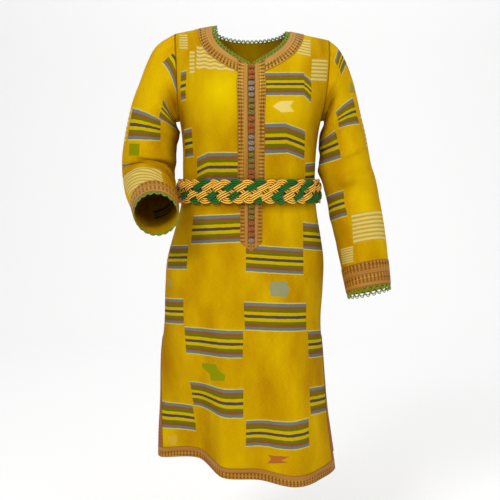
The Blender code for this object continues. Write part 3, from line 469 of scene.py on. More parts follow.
def tubeMesh(paths, outs, radius):
    # six-sided tubes along many paths at once, closed at both ends: (tubes, points, 3)
    sides = 6
    tangent = unit(np.gradient(paths, axis=1))
    across = unit(np.cross(tangent, outs))
    up = np.cross(across, tangent)
    turn = 2 * math.pi * np.arange(sides) / sides
    radius = np.broadcast_to(radius, paths.shape[:2])[..., None, None]
    ring = np.cos(turn)[:, None] * across[:, :, None] + np.sin(turn)[:, None] * up[:, :, None]
    points = paths[:, :, None] + radius * ring
    tubes, steps = paths.shape[:2]
    t, m, k = np.meshgrid(np.arange(tubes), np.arange(steps - 1), np.arange(sides), indexing="ij")
    base = (t * steps + m) * sides
    a, b = (base + k).ravel(), (base + (k + 1) % sides).ravel()
    quads = np.stack([a, a + sides, b + sides, b], axis=1)
    run = np.concatenate([np.zeros((tubes, 1)), np.cumsum(
        np.linalg.norm(np.diff(paths, axis=1), axis=2), axis=1)], axis=1)
    m, k, t = m.ravel(), k.ravel(), t.ravel()
    near, far = run[t, m], run[t, m + 1]
    flats = np.stack([np.stack([near, k / sides], 1), np.stack([far, k / sides], 1),
                      np.stack([far, (k + 1) / sides], 1), np.stack([near, (k + 1) / sides], 1)], axis=1)
    caps, capFlats, first = [], [], np.arange(tubes) * steps * sides
    for start, order in ((first, 1), (first + (steps - 1) * sides, -1)):
        for corners in ((0, 1, 2, 3), (0, 3, 4, 5)):
            caps.append(np.stack([start + i for i in corners], axis=1)[:, ::order])
            capFlats.append(np.zeros((tubes, 4, 2)))
    owner = np.concatenate([t] + [np.arange(tubes)] * len(caps))
    return (points.reshape(-1, 3), np.concatenate([quads] + caps), np.concatenate([flats] + capFlats), owner)


def joinTubes(name, parts):
    # one object from many lots of tubes, each with its points, quads and flat places
    vertices, quads, flats, total = [], [], [], 0
    for points, faces, corners in parts:
        vertices.append(points)
        quads.append(faces + total)
        flats.append(corners)
        total += len(points)
    return addMesh(name, np.concatenate(vertices), np.concatenate(quads), np.concatenate(flats))


# materials
def srgb(*screen):
    # 0-255 screen values to linear light
    c = np.array(screen) / 255.0
    return tuple(float(v) for v in np.where(c <= 0.04045, c / 12.92, ((c + 0.055) / 1.055) ** 2.4)) + (1.0,)


class Look:
    # one material; any input may be a socket, a number or a colour
    def __init__(self, name, roughness, sheen=0.0, specular=0.3):
        self.material = bpy.data.materials.new(name)
        self.material.use_nodes = True
        self.tree = self.material.node_tree
        self.shader = self.tree.nodes["Principled BSDF"]
        self.shader.inputs["Roughness"].default_value = roughness
        self.shader.inputs["Sheen Weight"].default_value = sheen
        self.shader.inputs["Specular IOR Level"].default_value = specular

    def plug(self, socket, value):
        # link a socket or set a value
        if isinstance(value, bpy.types.NodeSocket):
            self.tree.links.new(value, socket)
        else:
            socket.default_value = value

    def math(self, operation, *values, clamp=False):
        # one sum, by its operation's name
        node = self.tree.nodes.new("ShaderNodeMath")
        node.operation = operation
        node.use_clamp = clamp
        for socket, value in zip(node.inputs, values):
            self.plug(socket, value)
        return node.outputs[0]

    def vector(self, operation, first, second):
        # one sum of two vectors; these two operations give a number
        node = self.tree.nodes.new("ShaderNodeVectorMath")
        node.operation = operation
        self.plug(node.inputs[0], first)
        self.plug(node.inputs[1], second)
        return node.outputs["Value" if operation in ("DOT_PRODUCT", "DISTANCE") else "Vector"]

    def flat(self):
        # place on the flat cloth in metres
        node = self.tree.nodes.new("ShaderNodeUVMap")
        node.uv_map = "flat"
        return node.outputs[0]

    def split(self, vector):
        # the first two parts of a vector
        node = self.tree.nodes.new("ShaderNodeSeparateXYZ")
        self.plug(node.inputs[0], vector)
        return node.outputs[0], node.outputs[1]

    def noise(self, vector, scale, detail=2.0):
        # noise between 0 and 1
        node = self.tree.nodes.new("ShaderNodeTexNoise")
        self.plug(node.inputs["Vector"], vector)
        node.inputs["Scale"].default_value = scale
        node.inputs["Detail"].default_value = detail
        return node.outputs[0]

    def ramp(self, factor, stops, mode="LINEAR"):
        # colours at places between 0 and 1
        node = self.tree.nodes.new("ShaderNodeValToRGB")
        node.color_ramp.interpolation = mode
        points = node.color_ramp.elements
        while len(points) < len(stops):
            points.new(0.5)
        for point, (place, colour) in zip(points, stops):
            point.position = place
            point.color = colour
        self.plug(node.inputs[0], factor)
        return node.outputs[0]

    def mix(self, share, first, second):
        # first * (1 - share) + second * share
        node = self.tree.nodes.new("ShaderNodeMix")
        node.data_type = "RGBA"
        self.plug(node.inputs["Factor"], share)
        self.plug(node.inputs[6], first)
        self.plug(node.inputs[7], second)
        return node.outputs[2]

    def bump(self, height, distance):
        # relief from height, distance metres deep
        node = self.tree.nodes.new("ShaderNodeBump")
        node.inputs["Distance"].default_value = distance
        self.plug(node.inputs["Height"], height)
        self.plug(self.shader.inputs["Normal"], node.outputs[0])

    def wave(self, value, period):
        # cosine of 2 pi value / period
        return self.math("COSINE", self.math("MULTIPLY", value, 2 * math.pi / period))

    def inside(self, place, corners):
        # place in a four-cornered block: whether it is inside, and its share of the way down
        target = np.array(((-0.5, -0.5), (0.5, -0.5), (0.5, 0.5), (-0.5, 0.5)))
        known = np.column_stack([np.array(corners), np.ones(4)])
        fit = np.linalg.lstsq(known, target, rcond=None)[0]
        across = self.vector("DOT_PRODUCT", place, tuple(float(v) for v in fit[:, 0]))
        down = self.vector("DOT_PRODUCT", place, tuple(float(v) for v in fit[:, 1]))
        far = self.math("MAXIMUM", self.math("ABSOLUTE", across), self.math("ABSOLUTE", down))
        return self.math("LESS_THAN", far, 0.5), down

    def within(self, place, outline):
        # inside a convex outline: on one side of every edge
        outline = np.array(outline)
        x, y = outline.T
        if np.sum(x * np.roll(y, -1) - y * np.roll(x, -1)) > 0:
            outline = outline[::-1]
        worst = None
        for a, b in zip(outline, np.roll(outline, -1, axis=0)):
            way = np.array((-(b - a)[1], (b - a)[0]))
            edge = self.vector("DOT_PRODUCT", place, (float(way[0]), float(way[1]), float(-way @ a)))
            worst = edge if worst is None else self.math("MAXIMUM", worst, edge)
        return self.math("LESS_THAN", worst, 0.0)


# a striped block's colours from its top edge to its bottom edge
stripeStops = (
    (0.00, srgb(206, 190, 92)), (0.036, srgb(96, 116, 116)), (0.137, srgb(130, 78, 42)),
    (0.252, srgb(88, 106, 2)), (0.347, srgb(200, 168, 0)), (0.457, srgb(44, 56, 64)),
    (0.558, srgb(200, 168, 0)), (0.668, srgb(88, 106, 2)), (0.758, srgb(126, 72, 36)),
    (0.862, srgb(92, 110, 112)), (0.964, srgb(206, 190, 92)),
)
clothFacts = {
    "roughness": 0.86, "specular": 0.03,
    "weft": 0.0016, "warp": 0.0013,           # pitch of the threads
    "relief": 0.00025,
    "wander": 0.0022,                         # how far the blocks' edges wander
    "wavePitch": 0.025, "waveHeight": 0.0013,  # the wavy blocks' swing
    "pale": (220, 202, 120), "paleGap": (186, 152, 54),
}


def clothLook(name, chart):
    # strip-woven cloth: yellow ground with soft patches of painted shade and painted highlight, striped
    # blocks and pale blocks at charted places
    look = Look(name, roughness=clothFacts["roughness"], specular=clothFacts["specular"])
    flat = look.flat()
    wobble = look.vector("SUBTRACT", look.noise(flat, 90.0, 3.0), (0.5, 0.5, 0.5))
    scaled = look.vector("MULTIPLY", wobble, (clothFacts["wander"], clothFacts["wander"], 0.0))
    place = look.vector("ADD", look.vector("ADD", flat, (0.0, 0.0, 1.0)), scaled)
    u, v = look.split(flat)
    patch = look.noise(look.vector("MULTIPLY", flat, (13.0, 6.0, 1.0)), 1.0, 3.0)
    thread = look.noise(look.vector("MULTIPLY", flat, (160.0, 900.0, 1.0)), 1.0, 1.0)
    ground = look.ramp(look.math("MULTIPLY_ADD", patch, 0.7, look.math("MULTIPLY", thread, 0.3)),
                       ((0.36, srgb(*chart["shaded"])), (0.66, srgb(*chart["lit"]))))
    # soft patches of painted shade and painted highlight mixed into the ground
    for centreU, centreV, radiusU, radiusV, tint, strength in chart["paintedLightAndShade"]:
        scaledPlace = look.vector("MULTIPLY", flat, (1.0 / radiusU, 1.0 / radiusV, 0.0))
        far = look.vector("DISTANCE", scaledPlace, (centreU / radiusU, centreV / radiusV, 0.0))
        near = look.math("POWER", look.math("SUBTRACT", 1.0, far, clamp=True), 1.3)
        ground = look.mix(look.math("MULTIPLY", near, strength), ground, srgb(*tint))
    # the wavy blocks' places swing up and down by height * sin(2 pi u / pitch)
    swing = look.math("SINE", look.math("MULTIPLY", u, 2 * math.pi / clothFacts["wavePitch"]))
    swing = look.math("MULTIPLY", swing, clothFacts["waveHeight"])
    lift = look.tree.nodes.new("ShaderNodeCombineXYZ")
    look.plug(lift.inputs[1], swing)
    wavyPlace = look.vector("ADD", place, lift.outputs[0])

    def blocks(rows):
        # share of the way down where a place is in one of the blocks, and whether it is
        downAll = hereAll = 0.0
        for corners in rows:
            here, down = look.inside(wavyPlace if corners in chart["wavy"] else place, corners)
            part = look.math("MULTIPLY", here, look.math("ADD", down, 0.5))
            downAll = look.math("MAXIMUM", downAll, part)
            hereAll = look.math("MAXIMUM", hereAll, here)
        return downAll, hereAll

    down, here = blocks((*chart["pale"], *chart["wavy"]))
    lines = look.wave(down, 1.0 / chart["paleLines"])
    pale = look.ramp(look.math("MULTIPLY_ADD", lines, 0.5, 0.5),
                     ((0.30, srgb(*clothFacts["pale"])), (0.85, srgb(*clothFacts["paleGap"]))))
    colour = look.mix(look.math("MULTIPLY", here, 0.80), ground, pale)
    down, here = blocks(chart["stripes"])
    stripes = look.ramp(down, stripeStops, "CONSTANT")
    worn = look.math("MULTIPLY_ADD", thread, 0.22, 0.80, clamp=True)
    colour = look.mix(look.math("MULTIPLY", here, worn), colour, stripes)
    for outline, tint, strength in chart["motifs"]:
        here = look.within(place, outline)
        colour = look.mix(look.math("MULTIPLY", here, strength), colour, srgb(*tint))
    look.plug(look.shader.inputs["Base Color"], colour)
    weft, warp = look.wave(v, clothFacts["weft"]), look.wave(u, clothFacts["warp"])
    height = look.math("ADD", look.math("MULTIPLY", weft, warp), look.math("MULTIPLY", thread, 1.5))
    look.bump(height, clothFacts["relief"])
    return look.material


darkDash, oliveDash, redDash = (56, 26, 2), (78, 50, 6), (128, 62, 14)
trimFacts = {
    "relief": 0.0005,        # how deep the dashes are pressed in
    "placketStep": 0.0021, "hemStep": 0.0022,  # the mesh's steps along the trims
    "roughness": 0.55, "specular": 0.18,
    "gold": ((104, 58, 4), (150, 100, 16), (206, 168, 60)),
    "plainGold": ((140, 86, 18), (190, 144, 62)),
    "edge": (140, 88, 20), "fallen": (130, 62, 12),
    # for each kind: the braid's width as a share of the trim's, where its plain strip lies, the length
    # of one dash and gap, how much redder it is, and the columns of dashes by their share of the way
    # across, half width, colour and strength
    "band": (1.0, (0.60, 1.0), 0.0084, 0.0, (
        (0.17, 0.055, darkDash, 0.95), (0.36, 0.050, oliveDash, 0.85), (0.52, 0.035, redDash, 0.70))),
    "cuff": (0.5, (0.70, 0.97), 0.0088, 0.0, (
        (0.22, 0.06, darkDash, 0.95), (0.43, 0.045, oliveDash, 0.7), (0.60, 0.045, redDash, 0.8))),
    "hem": (1.0, (0.04, 0.36), 0.0082, 0.0, ((0.52, 0.050, darkDash, 0.95), (0.80, 0.050, darkDash, 0.90))),
    "slit": (1.0, (0.85, 1.0), 0.0082, 0.40, ((0.40, 0.07, darkDash, 0.9), (0.66, 0.07, darkDash, 0.8))),
}


def braidLook(kind):
    # gold braid: v is the share of the way across; columns of dark dashes, ribs and a plain strip
    width, (low, high), pitch, reddish, columns = trimFacts[kind]
    look = Look("braid_" + kind, roughness=trimFacts["roughness"], specular=trimFacts["specular"])
    flat = look.flat()
    u, v = look.split(flat)
    share = look.math("DIVIDE", look.math("MODULO", v, width), width)
    grain = look.noise(look.vector("MULTIPLY", flat, (700.0, 300.0, 1.0)), 1.0, 2.0)
    along = look.noise(look.vector("MULTIPLY", flat, (9.0, 9.0, 1.0)), 1.0, 2.0)
    rib = look.wave(u, pitch)
    gold = look.ramp(look.math("MULTIPLY_ADD", rib, -0.07, look.math("ADD", look.math(
        "MULTIPLY", grain, 0.3), look.math("MULTIPLY", along, 0.75))),
        [(at, srgb(*tint)) for at, tint in zip((0.28, 0.5, 0.8), trimFacts["gold"])])
    plain = look.ramp(look.math("ADD", look.math("MULTIPLY", grain, 0.4), look.math("MULTIPLY", along, 0.6)),
                      [(at, srgb(*tint)) for at, tint in zip((0.25, 0.75), trimFacts["plainGold"])])
    middle, half = (low + high) / 2, (high - low) / 2
    isPlain = look.math("LESS_THAN", look.math("ABSOLUTE", look.math("SUBTRACT", share, middle)), half)
    colour = look.mix(isPlain, gold, plain)
    height = look.math("MULTIPLY_ADD", rib, -0.25, look.math("MULTIPLY", grain, 0.2))
    height = look.math("MULTIPLY", height, look.math("SUBTRACT", 1.0, isPlain))
    for place, halfWidth, tint, strength in columns:
        far = look.math("DIVIDE", look.math("ABSOLUTE", look.math("SUBTRACT", share, place)), halfWidth)
        band = look.math("MULTIPLY", look.math("SUBTRACT", 1.15, far), 3.0, clamp=True)
        dash = look.math("MULTIPLY", look.math("SUBTRACT", rib, 0.15), 2.2, clamp=True)
        mark = look.math("MULTIPLY", band, dash)
        colour = look.mix(look.math("MULTIPLY", mark, strength), colour, srgb(*tint))
        height = look.math("SUBTRACT", height, look.math("MULTIPLY", mark, strength))
    edge = look.math("GREATER_THAN", look.math("ABSOLUTE", look.math("SUBTRACT", share, 0.5)), 0.46)
    colour = look.mix(look.math("MULTIPLY", edge, 0.6), colour, srgb(*trimFacts["edge"]))
    # redder and darker from the belt down
    onObject = look.tree.nodes.new("ShaderNodeSeparateXYZ")
    look.plug(onObject.inputs[0], look.tree.nodes.new("ShaderNodeTexCoord").outputs["Object"])
    fallen = look.math("MULTIPLY_ADD", onObject.outputs[2], -2.2, -0.35, clamp=True)
    fallen = look.math("MULTIPLY_ADD", fallen, 0.30, reddish, clamp=True)
    colour = look.mix(fallen, colour, srgb(*trimFacts["fallen"]))
    look.plug(look.shader.inputs["Base Color"], colour)
    look.bump(height, 0.0006)
    return look.material


def yarnLook(name, dark, light, roughness, twist, specular=0.4, outward=0.0):
    # twisted yarn: slanted lines along the tube; with outward, painted shade darkens the cord away from the
    # side that faces out
    look = Look(name, roughness=roughness, sheen=0.1, specular=specular)
    flat = look.flat()
    u, v = look.split(flat)
    slant = look.math("ADD", look.math("DIVIDE", u, twist), v)
    ply = look.math("MULTIPLY_ADD", look.wave(slant, 0.5), 0.5, 0.5)
    grain = look.noise(look.vector("MULTIPLY", flat, (500.0, 4.0, 1.0)), 1.0, 2.0)
    level = look.math("ADD", look.math("MULTIPLY", ply, 0.65), look.math("MULTIPLY", grain, 0.35))
    if outward:
        # painted light on the side that faces out, painted shade on the sides
        turned = look.math("SINE", look.math("MULTIPLY", v, 2 * math.pi))
        paintedFacingLight = look.math("MULTIPLY_ADD", turned, 2.3, -1.1, clamp=True)
        paintedFacingLight = look.math("MULTIPLY", paintedFacingLight, outward)
        level = look.math("ADD", look.math("MULTIPLY", level, 1.0 - outward), paintedFacingLight)
    look.plug(look.shader.inputs["Base Color"], look.ramp(level, ((0.15, srgb(*dark)), (0.75, srgb(*light)))))
    look.bump(ply, 0.0004)
    return look.material


# the front's weave: blocks by their corners on the flat cloth, across and down from the shoulders;
# the corners were read off the photo and turned into these metres beforehand, outside this script
frontChart = {
    "lit": (216, 175, 0), "shaded": (178, 126, 0), "paleLines": 6.0,
    "stripes": (
        ((-0.1726, -0.0999), (-0.1554, -0.1008), (-0.1572, -0.1652), (-0.1787, -0.1705)),
        ((-0.1828, -0.2330), (-0.1487, -0.2278), (-0.1408, -0.2948), (-0.1806, -0.2963)),
        ((-0.2300, -0.4990), (-0.1482, -0.4930), (-0.1523, -0.5492), (-0.2300, -0.5540)),
        ((-0.2700, -0.6230), (-0.1606, -0.6144), (-0.1636, -0.6755), (-0.2700, -0.6830)),
        ((-0.2700, -0.8615), (-0.1672, -0.8705), (-0.1691, -0.9352), (-0.2700, -0.9315)),
        ((-0.1300, -0.2961), (-0.0995, -0.2838), (-0.0995, -0.3508), (-0.1300, -0.3620)),
        ((-0.1000, -0.2840), (-0.0180, -0.2840), (-0.0180, -0.3510), (-0.1000, -0.3510)),
        ((-0.1384, -0.4282), (-0.0180, -0.4192), (-0.0180, -0.4868), (-0.1434, -0.4913)),
        ((-0.1611, -0.6793), (-0.0184, -0.6795), (-0.0186, -0.7453), (-0.1634, -0.7415)),
        ((-0.1632, -0.8079), (-0.0188, -0.8102), (-0.0179, -0.8712), (-0.1656, -0.8717)),
        ((-0.0180, -0.1086), (0.1210, -0.1054), (0.1208, -0.1601), (-0.0180, -0.1628)),
        ((0.1205, -0.1074), (0.1390, -0.1243), (0.1416, -0.1736), (0.1205, -0.1622)),
        ((-0.0180, -0.2225), (0.0805, -0.2195), (0.0805, -0.2880), (-0.0180, -0.2920)),
        ((0.0800, -0.2195), (0.1310, -0.2370), (0.1310, -0.3000), (0.0800, -0.2880)),
        ((-0.0120, -0.4890), (0.1235, -0.5006), (0.1242, -0.5605), (-0.0117, -0.5519)),
        ((-0.0150, -0.6171), (0.1312, -0.6245), (0.1379, -0.6904), (-0.0162, -0.6815)),
        ((-0.0144, -0.8726), (0.1445, -0.8711), (0.1380, -0.9193), (-0.0098, -0.9327)),
        ((0.1363, -0.3105), (0.2200, -0.3000), (0.2200, -0.3700), (0.1316, -0.3696)),
        ((0.1269, -0.4432), (0.2300, -0.4505), (0.2300, -0.5160), (0.1234, -0.5030)),
        ((0.1390, -0.6899), (0.2600, -0.7000), (0.2600, -0.7645), (0.1457, -0.7517)),
        ((0.1442, -0.8127), (0.2700, -0.8245), (0.2700, -0.8780), (0.1525, -0.8672)),
    ),
    "pale": (
        ((-0.1864, -0.0110), (-0.1561, -0.0124), (-0.1508, -0.0503), (-0.1826, -0.0491)),
        ((-0.1462, -0.0553), (-0.1325, -0.0533), (-0.1310, -0.1099), (-0.1449, -0.1081)),
        ((0.1065, -0.0227), (0.1416, -0.0239), (0.1391, -0.0706), (0.1050, -0.0606)),
        ((0.1417, -0.0735), (0.2047, -0.0712), (0.1956, -0.1250), (0.1404, -0.1243)),
    ),
    "wavy": (((-0.1273, -0.0437), (-0.0250, -0.0500), (-0.0250, -0.1085), (-0.1258, -0.0962)),),
    # painted shade and painted highlights as soft patches: u, v, reach across and down, colour, strength
    "paintedLightAndShade": (
        (-0.190, -0.230, 0.060, 0.110, (112, 56, 0), 0.70),
        (0.190, -0.250, 0.055, 0.130, (120, 66, 0), 0.70),
        (0.000, -0.404, 0.300, 0.022, (104, 50, 0), 0.55),
        (0.240, -0.600, 0.090, 0.300, (132, 84, 0), 0.60),
        (-0.230, -0.700, 0.080, 0.330, (140, 90, 0), 0.50),
        (-0.070, -0.150, 0.100, 0.110, (236, 206, 0), 0.75),
        (0.072, -0.186, 0.085, 0.060, (236, 200, 0), 0.65),
        (0.020, -0.920, 0.150, 0.120, (200, 154, 0), 0.50),
        (-0.060, -0.560, 0.100, 0.080, (190, 142, 0), 0.45),
    ),
    "motifs": (
        (((0.0472, -0.1843), (0.0639, -0.1730), (0.0964, -0.1711), (0.0871, -0.1836)), (238, 216, 128), 0.75),
        (((0.0472, -0.1843), (0.0871, -0.1836), (0.0971, -0.1954), (0.0663, -0.1980)), (238, 216, 128), 0.75),
        (((0.0445, -0.5728), (0.0817, -0.5744), (0.0877, -0.5905), (0.0817, -0.6078), (0.0456, -0.6059),
          (0.0411, -0.5890)), (138, 148, 116), 0.85),
        (((0.0386, -0.9428), (0.0862, -0.9371), (0.0693, -0.9478), (0.0456, -0.9501)), (172, 92, 42), 0.9),
        (((0.0456, -0.9501), (0.0693, -0.9478), (0.0832, -0.9496), (0.0358, -0.9614)), (172, 92, 42), 0.9),
        (((-0.1272, -0.7622), (-0.0830, -0.7587), (-0.0780, -0.7702), (-0.1044, -0.7846),
          (-0.1259, -0.7729)), (134, 142, 6), 0.9),
        (((-0.0780, -0.7702), (-0.0580, -0.7813), (-0.0604, -0.7927), (-0.1020, -0.7985),
          (-0.1044, -0.7846)), (134, 142, 6), 0.9),
        # brown strip behind the buttons
        (((-0.0075, -0.0900), (0.0075, -0.0900), (0.0075, -0.5070), (-0.0075, -0.5070)), (140, 95, 45), 1.0),
        (((-0.2451, -0.9473), (-0.2179, -0.9480), (-0.2223, -0.9722), (-0.2400, -0.9722)),
         (205, 170, 80), 0.35),
        (((-0.2201, -0.5705), (-0.2045, -0.5789), (-0.2065, -0.5930), (-0.2194, -0.5898)),
         (150, 140, 100), 0.7),
    ),
}


backDrop = 0.012    # the back's weave is the front's, mirrored and this much lower


def mirrored(corners):
    # the block on the other side of the centre line, moved down
    a, b, c, d = [(-x, z - backDrop) for x, z in corners]
    return b, a, d, c


backChart = {
    "lit": frontChart["lit"], "shaded": frontChart["shaded"], "paleLines": frontChart["paleLines"],
    "stripes": tuple(mirrored(row) for row in frontChart["stripes"]),
    "pale": tuple(mirrored(row) for row in frontChart["pale"]),
    "paintedLightAndShade": tuple((-row[0], *row[1:]) for row in frontChart["paintedLightAndShade"]),
    "wavy": tuple(mirrored(row) for row in frontChart["wavy"]),
    "motifs": tuple((tuple((-x, z - backDrop) for x, z in outline)[::-1], tint, strength)
                    for outline, tint, strength in frontChart["motifs"][2:7]),
}

sleeveFacts = {
    "lit": (222, 180, 0), "shaded": (182, 128, 0), "seam": (116, 70, 0),
    "flatRadius": 0.06,       # turns an angle round the sleeve into metres on the flat cloth
    "cuffWidth": 0.056,
    "capFade": 0.09,          # the armhole's form fades out over this length
    "steps": 105, "cuffSteps": 28,
}


def sleeveCorners(row):
    # distance along the sleeve and angle round it, to flat places
    return tuple(((90.0 - angle) * math.pi / 180 * sleeveFacts["flatRadius"], -place) for place, angle in row)


def sleeveChart(stripes, pale, motifs, paintedLightAndShade, turned=()):
    # a sleeve's weave; the seam at the armhole is a dark line, 2.5 mm wide
    seam = (((-0.20, 0.02), (0.40, 0.02), (0.40, -0.0025), (-0.20, -0.0025)), sleeveFacts["seam"], 0.75)
    return {
        "lit": sleeveFacts["lit"], "shaded": sleeveFacts["shaded"], "paleLines": 7.0,
        "stripes": [*turned, *(sleeveCorners(row) for row in stripes)],
        "pale": [sleeveCorners(row) for row in pale], "wavy": (),
        "paintedLightAndShade": [(*sleeveCorners(((place, angle),))[0], *rest) for place, angle, *rest in paintedLightAndShade],
        "motifs": [seam, *((sleeveCorners(outline), tint, strength) for outline, tint, strength in motifs)],
    }


# blocks by distance from the armhole and angle from the outer side, 90 in front; those that the photo
# shows were read off it and turned into these values in the same way
leftSleeveChart = sleeveChart(
    stripes=(
        ((0.122, 30), (0.101, 108), (0.166, 115), (0.170, 39)),
        ((0.060, 104), (0.036, 175), (0.098, 175), (0.099, 104)),
        ((0.230, 30), (0.240, 64), (0.262, 64), (0.246, 7)),
        ((0.060, -150), (0.060, -90), (0.125, -90), (0.125, -150)),
        ((0.180, -90), (0.180, -25), (0.245, -25), (0.245, -90)),
        ((0.300, -160), (0.300, -95), (0.365, -95), (0.365, -160)),
    ),
    pale=(
        ((0.262, 7), (0.375, 112), (0.470, 116), (0.400, 7)),
        ((0.120, -20), (0.120, 25), (0.180, 30), (0.180, -20)),
    ),
    motifs=(
        (((0.179, 46), (0.174, 74), (0.203, 75), (0.206, 49)), (120, 134, 0), 0.85),
    ),
    # painted shade in the armpit, on the inner side and at the elbow's bend, and painted highlights on the
    # front: place, angle, reach across and down, colour, strength
    paintedLightAndShade=(
        (0.150, 172, 0.050, 0.150, (112, 52, 0), 0.85), (0.010, 126, 0.040, 0.070, (124, 62, 6), 0.70),
        (0.255, 158, 0.030, 0.050, (104, 48, 0), 0.75), (0.226, 95, 0.070, 0.016, (128, 76, 0), 0.70),
        (0.060, 70, 0.050, 0.070, (226, 190, 0), 0.50), (0.205, 95, 0.050, 0.040, (228, 186, 0), 0.50),
        (0.380, 165, 0.050, 0.120, (112, 56, 0), 0.70)),
    turned=(((0.0408, 0.0134), (-0.0094, 0.0366), (-0.0215, -0.0045), (0.0287, -0.0278)),))
rightSleeveChart = sleeveChart(
    stripes=(
        ((0.010, 61), (0.019, 11), (0.041, 18), (0.037, 62)),
        ((0.069, 102), (0.083, 54), (0.134, 35), (0.117, 104)),
        ((0.120, 177), (0.115, 107), (0.190, 106), (0.200, 159)),
        ((0.274, 177), (0.273, 113), (0.335, 115), (0.335, 177)),
        ((0.060, -90), (0.060, -150), (0.125, -150), (0.125, -90)),
        ((0.180, -25), (0.180, -90), (0.245, -90), (0.245, -25)),
        ((0.330, -95), (0.330, -160), (0.395, -160), (0.395, -95)),
    ),
    pale=(
        ((0.332, 106), (0.335, 11), (0.405, 19), (0.405, 113)),
        ((0.405, 152), (0.408, 118), (0.445, 120), (0.442, 164)),
        ((0.120, 25), (0.120, -20), (0.180, -20), (0.180, 30)),
    ),
    motifs=((((0.063, 37), (0.073, 24), (0.085, 25), (0.074, 53)), (130, 140, 60), 0.7),),
    # painted shade in the armpit and on the inner side, and painted highlights on the front: place, angle,
    # reach across and down, colour, strength
    paintedLightAndShade=(
        (0.150, 172, 0.045, 0.200, (120, 64, 0), 0.75), (0.020, 125, 0.040, 0.060, (120, 62, 0), 0.60),
        (0.400, 172, 0.040, 0.200, (132, 80, 0), 0.60), (0.230, 70, 0.060, 0.120, (228, 190, 0), 0.60),
        (0.340, 70, 0.070, 0.120, (228, 188, 0), 0.70),
        (0.262, 105, 0.050, 0.020, (150, 98, 0), 0.50)))

# columns of the front's grid: the opening's left edge, and each placket band's outer and inner edge
slitColumn, bandEdges = 42, {"left": (35, 40), "right": (50, 45)}
edgeColumns = frontSteps[0]    # columns under the trim along a side edge
lastColumn = {"front": sum(frontSteps), "back": sum(backSteps)}

# front and back
grids, bodyPieces = {}, {}
for bodyName, bodySide, bodyColumns, bodyChart in (("front", -1, frontColumns, frontChart),
                                                   ("back", 1, backColumns, backChart)):
    grids[bodyName] = bodyPanel(bodySide, bodyColumns)
    bodyGrid, bodyNormals, bodyFlat = grids[bodyName]
    bodyKeep = np.ones((bodyGrid.shape[0] - 1, bodyGrid.shape[1] - 1), bool)
    if bodySide < 0:
        bodyKeep[rowAt(cut["frontSlitEndZ"]):, slitColumn] = False
    bodyInner = bodyGrid - bodyNormals * cut["wall"]
    piece = addMesh(bodyName + "_cloth",
                    *shell(bodyGrid, bodyInner, bodyFlat, keep=bodyKeep, flip=bodySide > 0))
    piece.data.materials.append(clothLook(bodyName + "_weave", bodyChart))
    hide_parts(bodyName)
    bodyPieces[bodyName] = piece
print("front and back made")

# sleeves: x, y, z of the middle, tilt in degrees, half width outward and half width forward
sleeveTables = {
    "right": np.array((
        (0.1690, 0.0, -0.116, 5, 0.0940, 0.052), (0.1847, 0.0, -0.1255, 11.3, 0.0850, 0.056),
        (0.1950, 0.0, -0.149, 21, 0.0745, 0.060), (0.2000, 0.0, -0.177, 34, 0.0658, 0.062),
        (0.2047, 0.002, -0.216, 54.5, 0.0573, 0.063), (0.2120, 0.004, -0.262, 73, 0.0580, 0.063),
        (0.2185, 0.005, -0.312, 79, 0.0610, 0.063), (0.2300, 0.002, -0.355, 78.5, 0.0615, 0.062),
        (0.2400, -0.007, -0.405, 78.5, 0.0610, 0.061), (0.2510, -0.018, -0.465, 78.5, 0.0595, 0.059),
        (0.2610, -0.034, -0.530, 78.5, 0.0560, 0.056), (0.2700, -0.052, -0.598, 78.5, 0.0515, 0.0525),
    )),
    "left": np.array((
        (-0.1715, 0.0, -0.109, 3, 0.0965, 0.052), (-0.1987, 0.0, -0.124, 15, 0.0877, 0.056),
        (-0.2105, 0.0, -0.1465, 26, 0.0778, 0.060), (-0.2180, 0.0, -0.177, 41, 0.0697, 0.062),
        (-0.2265, 0.002, -0.210, 63, 0.0645, 0.063), (-0.2360, 0.004, -0.254, 78, 0.0630, 0.064),
        (-0.2430, 0.008, -0.297, 86, 0.0630, 0.064), (-0.2430, 0.002, -0.331, 90, 0.0625, 0.062),
        (-0.2390, -0.022, -0.354, 90, 0.0610, 0.058), (-0.2330, -0.060, -0.369, 90, 0.0590, 0.060),
        (-0.2230, -0.110, -0.385, 90, 0.0560, 0.057), (-0.2130, -0.160, -0.401, 90, 0.0520, 0.053),
        (-0.2060, -0.207, -0.417, 90, 0.0485, 0.049),
    )),
}
